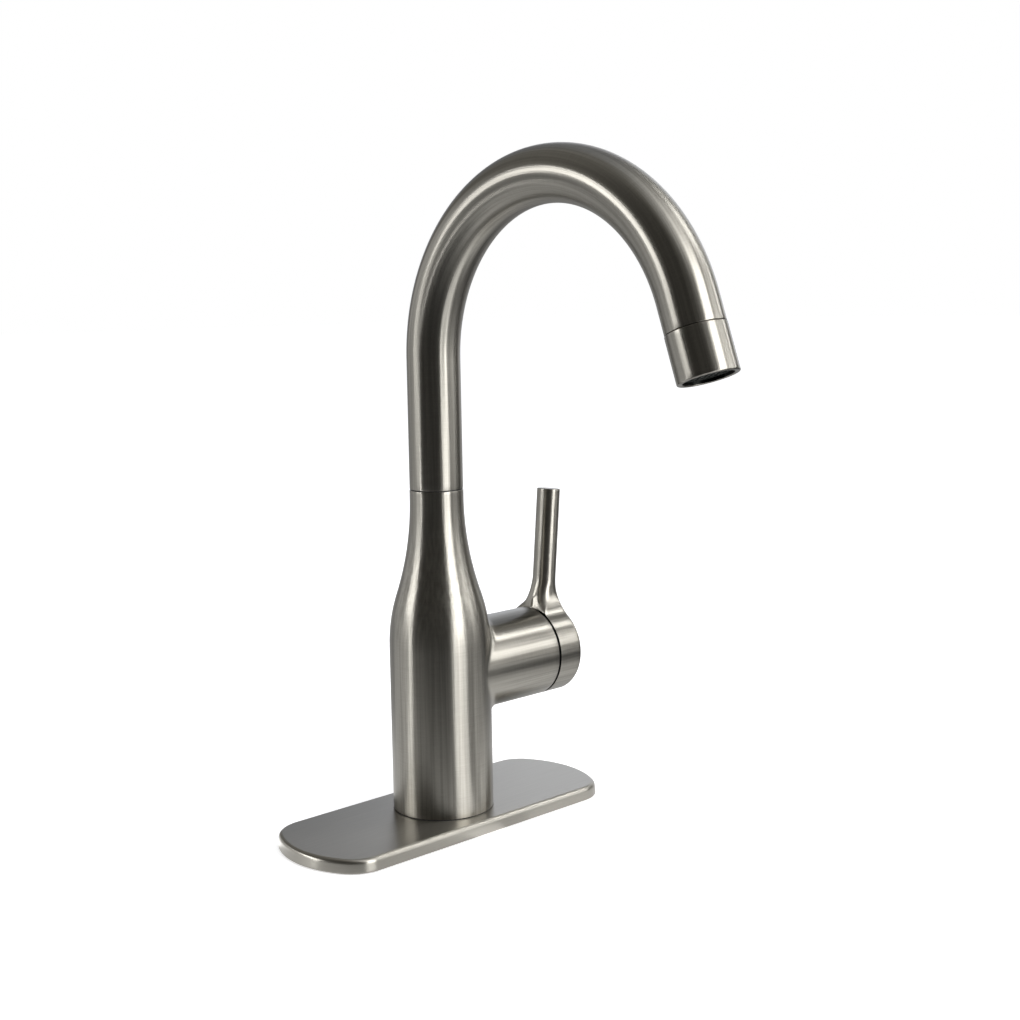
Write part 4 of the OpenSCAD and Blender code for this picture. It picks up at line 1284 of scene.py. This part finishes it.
def studio_world(heading):
    """The plain studio round the object: white to the camera, even for the paint, and in
    the metal an even grey with soft brighter and dimmer walls. A wall is the product of a
    smooth step in bearing and one in elevation. Dim light is a little warm, and that from
    behind the object a little cool."""
    even, grey = 0.7, 0.24
    warm, cool = (1, 0.96, 0.88, 1), (0.95, 0.985, 1.07, 1)
    world = bpy.data.worlds.new("plain_studio")
    world.use_nodes = True
    tree = world.node_tree
    tree.nodes.clear()
    out = add_node(tree, "ShaderNodeOutputWorld")
    place = add_node(tree, "ShaderNodeTexCoord")
    along = add_node(tree, "ShaderNodeSeparateXYZ", {"Vector": place.outputs["Generated"]})
    turn = add_node(tree, "ShaderNodeMath", {
        0: along.outputs["Y"], 1: along.outputs["X"],
    }, operation="ARCTAN2")
    rise = add_node(tree, "ShaderNodeMath", {0: along.outputs["Z"]}, operation="ARCSINE")

    def near(value, middle, half, soft):
        """1 within half of the middle, 0 beyond half + soft; all in degrees."""
        gap = add_node(tree, "ShaderNodeMath", {
            0: value, 1: math.radians(middle),
        }, operation="SUBTRACT")
        gap = add_node(tree, "ShaderNodeMath", {
            0: gap.outputs[0], 1: math.pi, 2: -math.pi,
        }, operation="WRAP")
        gap = add_node(tree, "ShaderNodeMath", {0: gap.outputs[0]}, operation="ABSOLUTE")
        return add_node(tree, "ShaderNodeMapRange", {
            "Value": gap.outputs[0], "From Min": math.radians(half),
            "From Max": math.radians(half + soft), "To Min": 1.0, "To Max": 0.0,
        }, interpolation_type="SMOOTHSTEP").outputs["Result"]

    to_camera = math.degrees(heading) + 180
    total = grey
    # bearing, half width, elevation, half height and softness in degrees, and level
    for bearing, wide, elevation, high, soft, level in (
        (160, 19, 8, 20, 10, 0.85),
        (-170, 9, 0, 12, 8, 0.5),
        (-108, 20, -8, 20, 12, 0.62),
        (-20, 48, 0, 52, 14, -0.17),
        (50, 50, 90, 25, 20, 0.45),
    ):
        side = near(turn.outputs[0], to_camera + bearing, wide, soft)
        level = add_node(tree, "ShaderNodeMath", {
            0: near(rise.outputs[0], elevation, high, soft), 1: level,
        }, operation="MULTIPLY")
        total = add_node(tree, "ShaderNodeMath", {
            0: side, 1: level.outputs[0], 2: total,
        }, operation="MULTIPLY_ADD").outputs[0]
    path = add_node(tree, "ShaderNodeLightPath")
    plain = add_node(tree, "ShaderNodeMix", {
        "Factor": path.outputs["Is Glossy Ray"], "A": even, "B": total,
    })
    white = add_node(tree, "ShaderNodeMath", {
        0: path.outputs["Is Camera Ray"], 1: path.outputs["Is Transmission Ray"],
    }, operation="MAXIMUM")
    level = add_node(tree, "ShaderNodeMix", {
        "Factor": white.outputs[0], "A": plain.outputs["Result"], "B": 1.0,
    })
    dim = add_node(tree, "ShaderNodeMapRange", {
        "Value": level.outputs["Result"], "From Min": 0.2, "From Max": 0.6,
        "To Min": 1.0, "To Max": 0.0,
    })
    tint = add_node(tree, "ShaderNodeMix", {
        "Factor": dim.outputs["Result"], "A": (1, 1, 1, 1), "B": warm,
    }, data_type="RGBA")
    rear = near(turn.outputs[0], to_camera + 180, 24, 12)
    tint = add_node(tree, "ShaderNodeMix", {
        "Factor": rear, "A": tint.outputs["Result"], "B": cool,
    }, data_type="RGBA")
    tint = add_node(tree, "ShaderNodeMix", {
        "Factor": white.outputs[0], "A": tint.outputs["Result"], "B": (1, 1, 1, 1),
    }, data_type="RGBA")
    sky = add_node(tree, "ShaderNodeBackground", {
        "Color": tint.outputs["Result"], "Strength": level.outputs["Result"],
    })
    tree.links.new(sky.outputs[0], out.inputs["Surface"])
    return world


class FAUCET_OT_stage(bpy.types.Operator):
    """Makes the camera, the pale floor, the lamps and the plain surroundings"""

    bl_idname = "faucet.stage"
    bl_label = "Stage"

    def execute(self, context):
        scene, s = context.scene, context.scene.faucet_studio
        photo_camera(scene, s)
        studio_floor(scene, board_with_painted_light(s.heading, tuple(scene.faucet_finish.floor)))
        # A tall soft box on the right, a small one on the left, a strip above, a narrow one
        # low on the left, and three smaller ones from the far right
        h = s.heading
        soft_box("right_soft_box", h, 50, 13, 2.2, (1.06, 2.75), 48, roll=-17)
        soft_box("upper_strip", h, 66, 57, 2.2, (2.5, 0.6), 5)
        soft_box("left_soft_box", h, -80, 15.5, 2.2, (0.85, 0.6), 9.8)
        soft_box("left_strip", h, -71, -13, 0.55, (0.05, 0.15), 0.135)
        soft_box("back_spot", h, 108, 43, 2.2, (0.26, 0.8), 6.5, roll=23)
        soft_box("far_spot", h, 112, 20, 2.2, (0.18, 0.55), 3.0)
        soft_box("side_spot", h, 87, 16, 2.2, (1.0, 0.62), 6.4, roll=-22)
        scene.world = studio_world(s.heading)
        scene.view_settings.view_transform = "Standard"
        return {"FINISHED"}


class FAUCET_PT_panel(bpy.types.Panel):
    """Lists the faucet's pieces and their settings"""

    bl_idname = "FAUCET_PT_panel"
    bl_label = "Faucet"
    bl_space_type = "VIEW_3D"
    bl_region_type = "UI"
    bl_category = "Faucet"

    def draw(self, context):
        for operator in OPERATORS:
            self.layout.operator(operator.bl_idname)
        for key, group in SETTINGS.items():
            box = self.layout.box()
            box.label(text=group.__doc__)
            for name in group.__annotations__:
                box.prop(getattr(context.scene, key), name)


OPERATORS = (
    FAUCET_OT_inner_parts, FAUCET_OT_plate, FAUCET_OT_body, FAUCET_OT_spout,
    FAUCET_OT_lever, FAUCET_OT_stage,
)
CLASSES = (*SETTINGS.values(), *OPERATORS, FAUCET_PT_panel)


def register():
    for cls in CLASSES:
        bpy.utils.register_class(cls)
    for key, group in SETTINGS.items():
        setattr(bpy.types.Scene, key, PointerProperty(type=group))


def unregister():
    for key in SETTINGS:
        delattr(bpy.types.Scene, key)
    for cls in reversed(CLASSES):
        bpy.utils.unregister_class(cls)


def main():
    register()
    bpy.ops.faucet.inner_parts()
    bpy.ops.faucet.plate()
    bpy.ops.faucet.body()
    bpy.ops.faucet.spout()
    bpy.ops.faucet.lever()
    bpy.ops.faucet.stage()


if __name__ == "__main__":
    main()
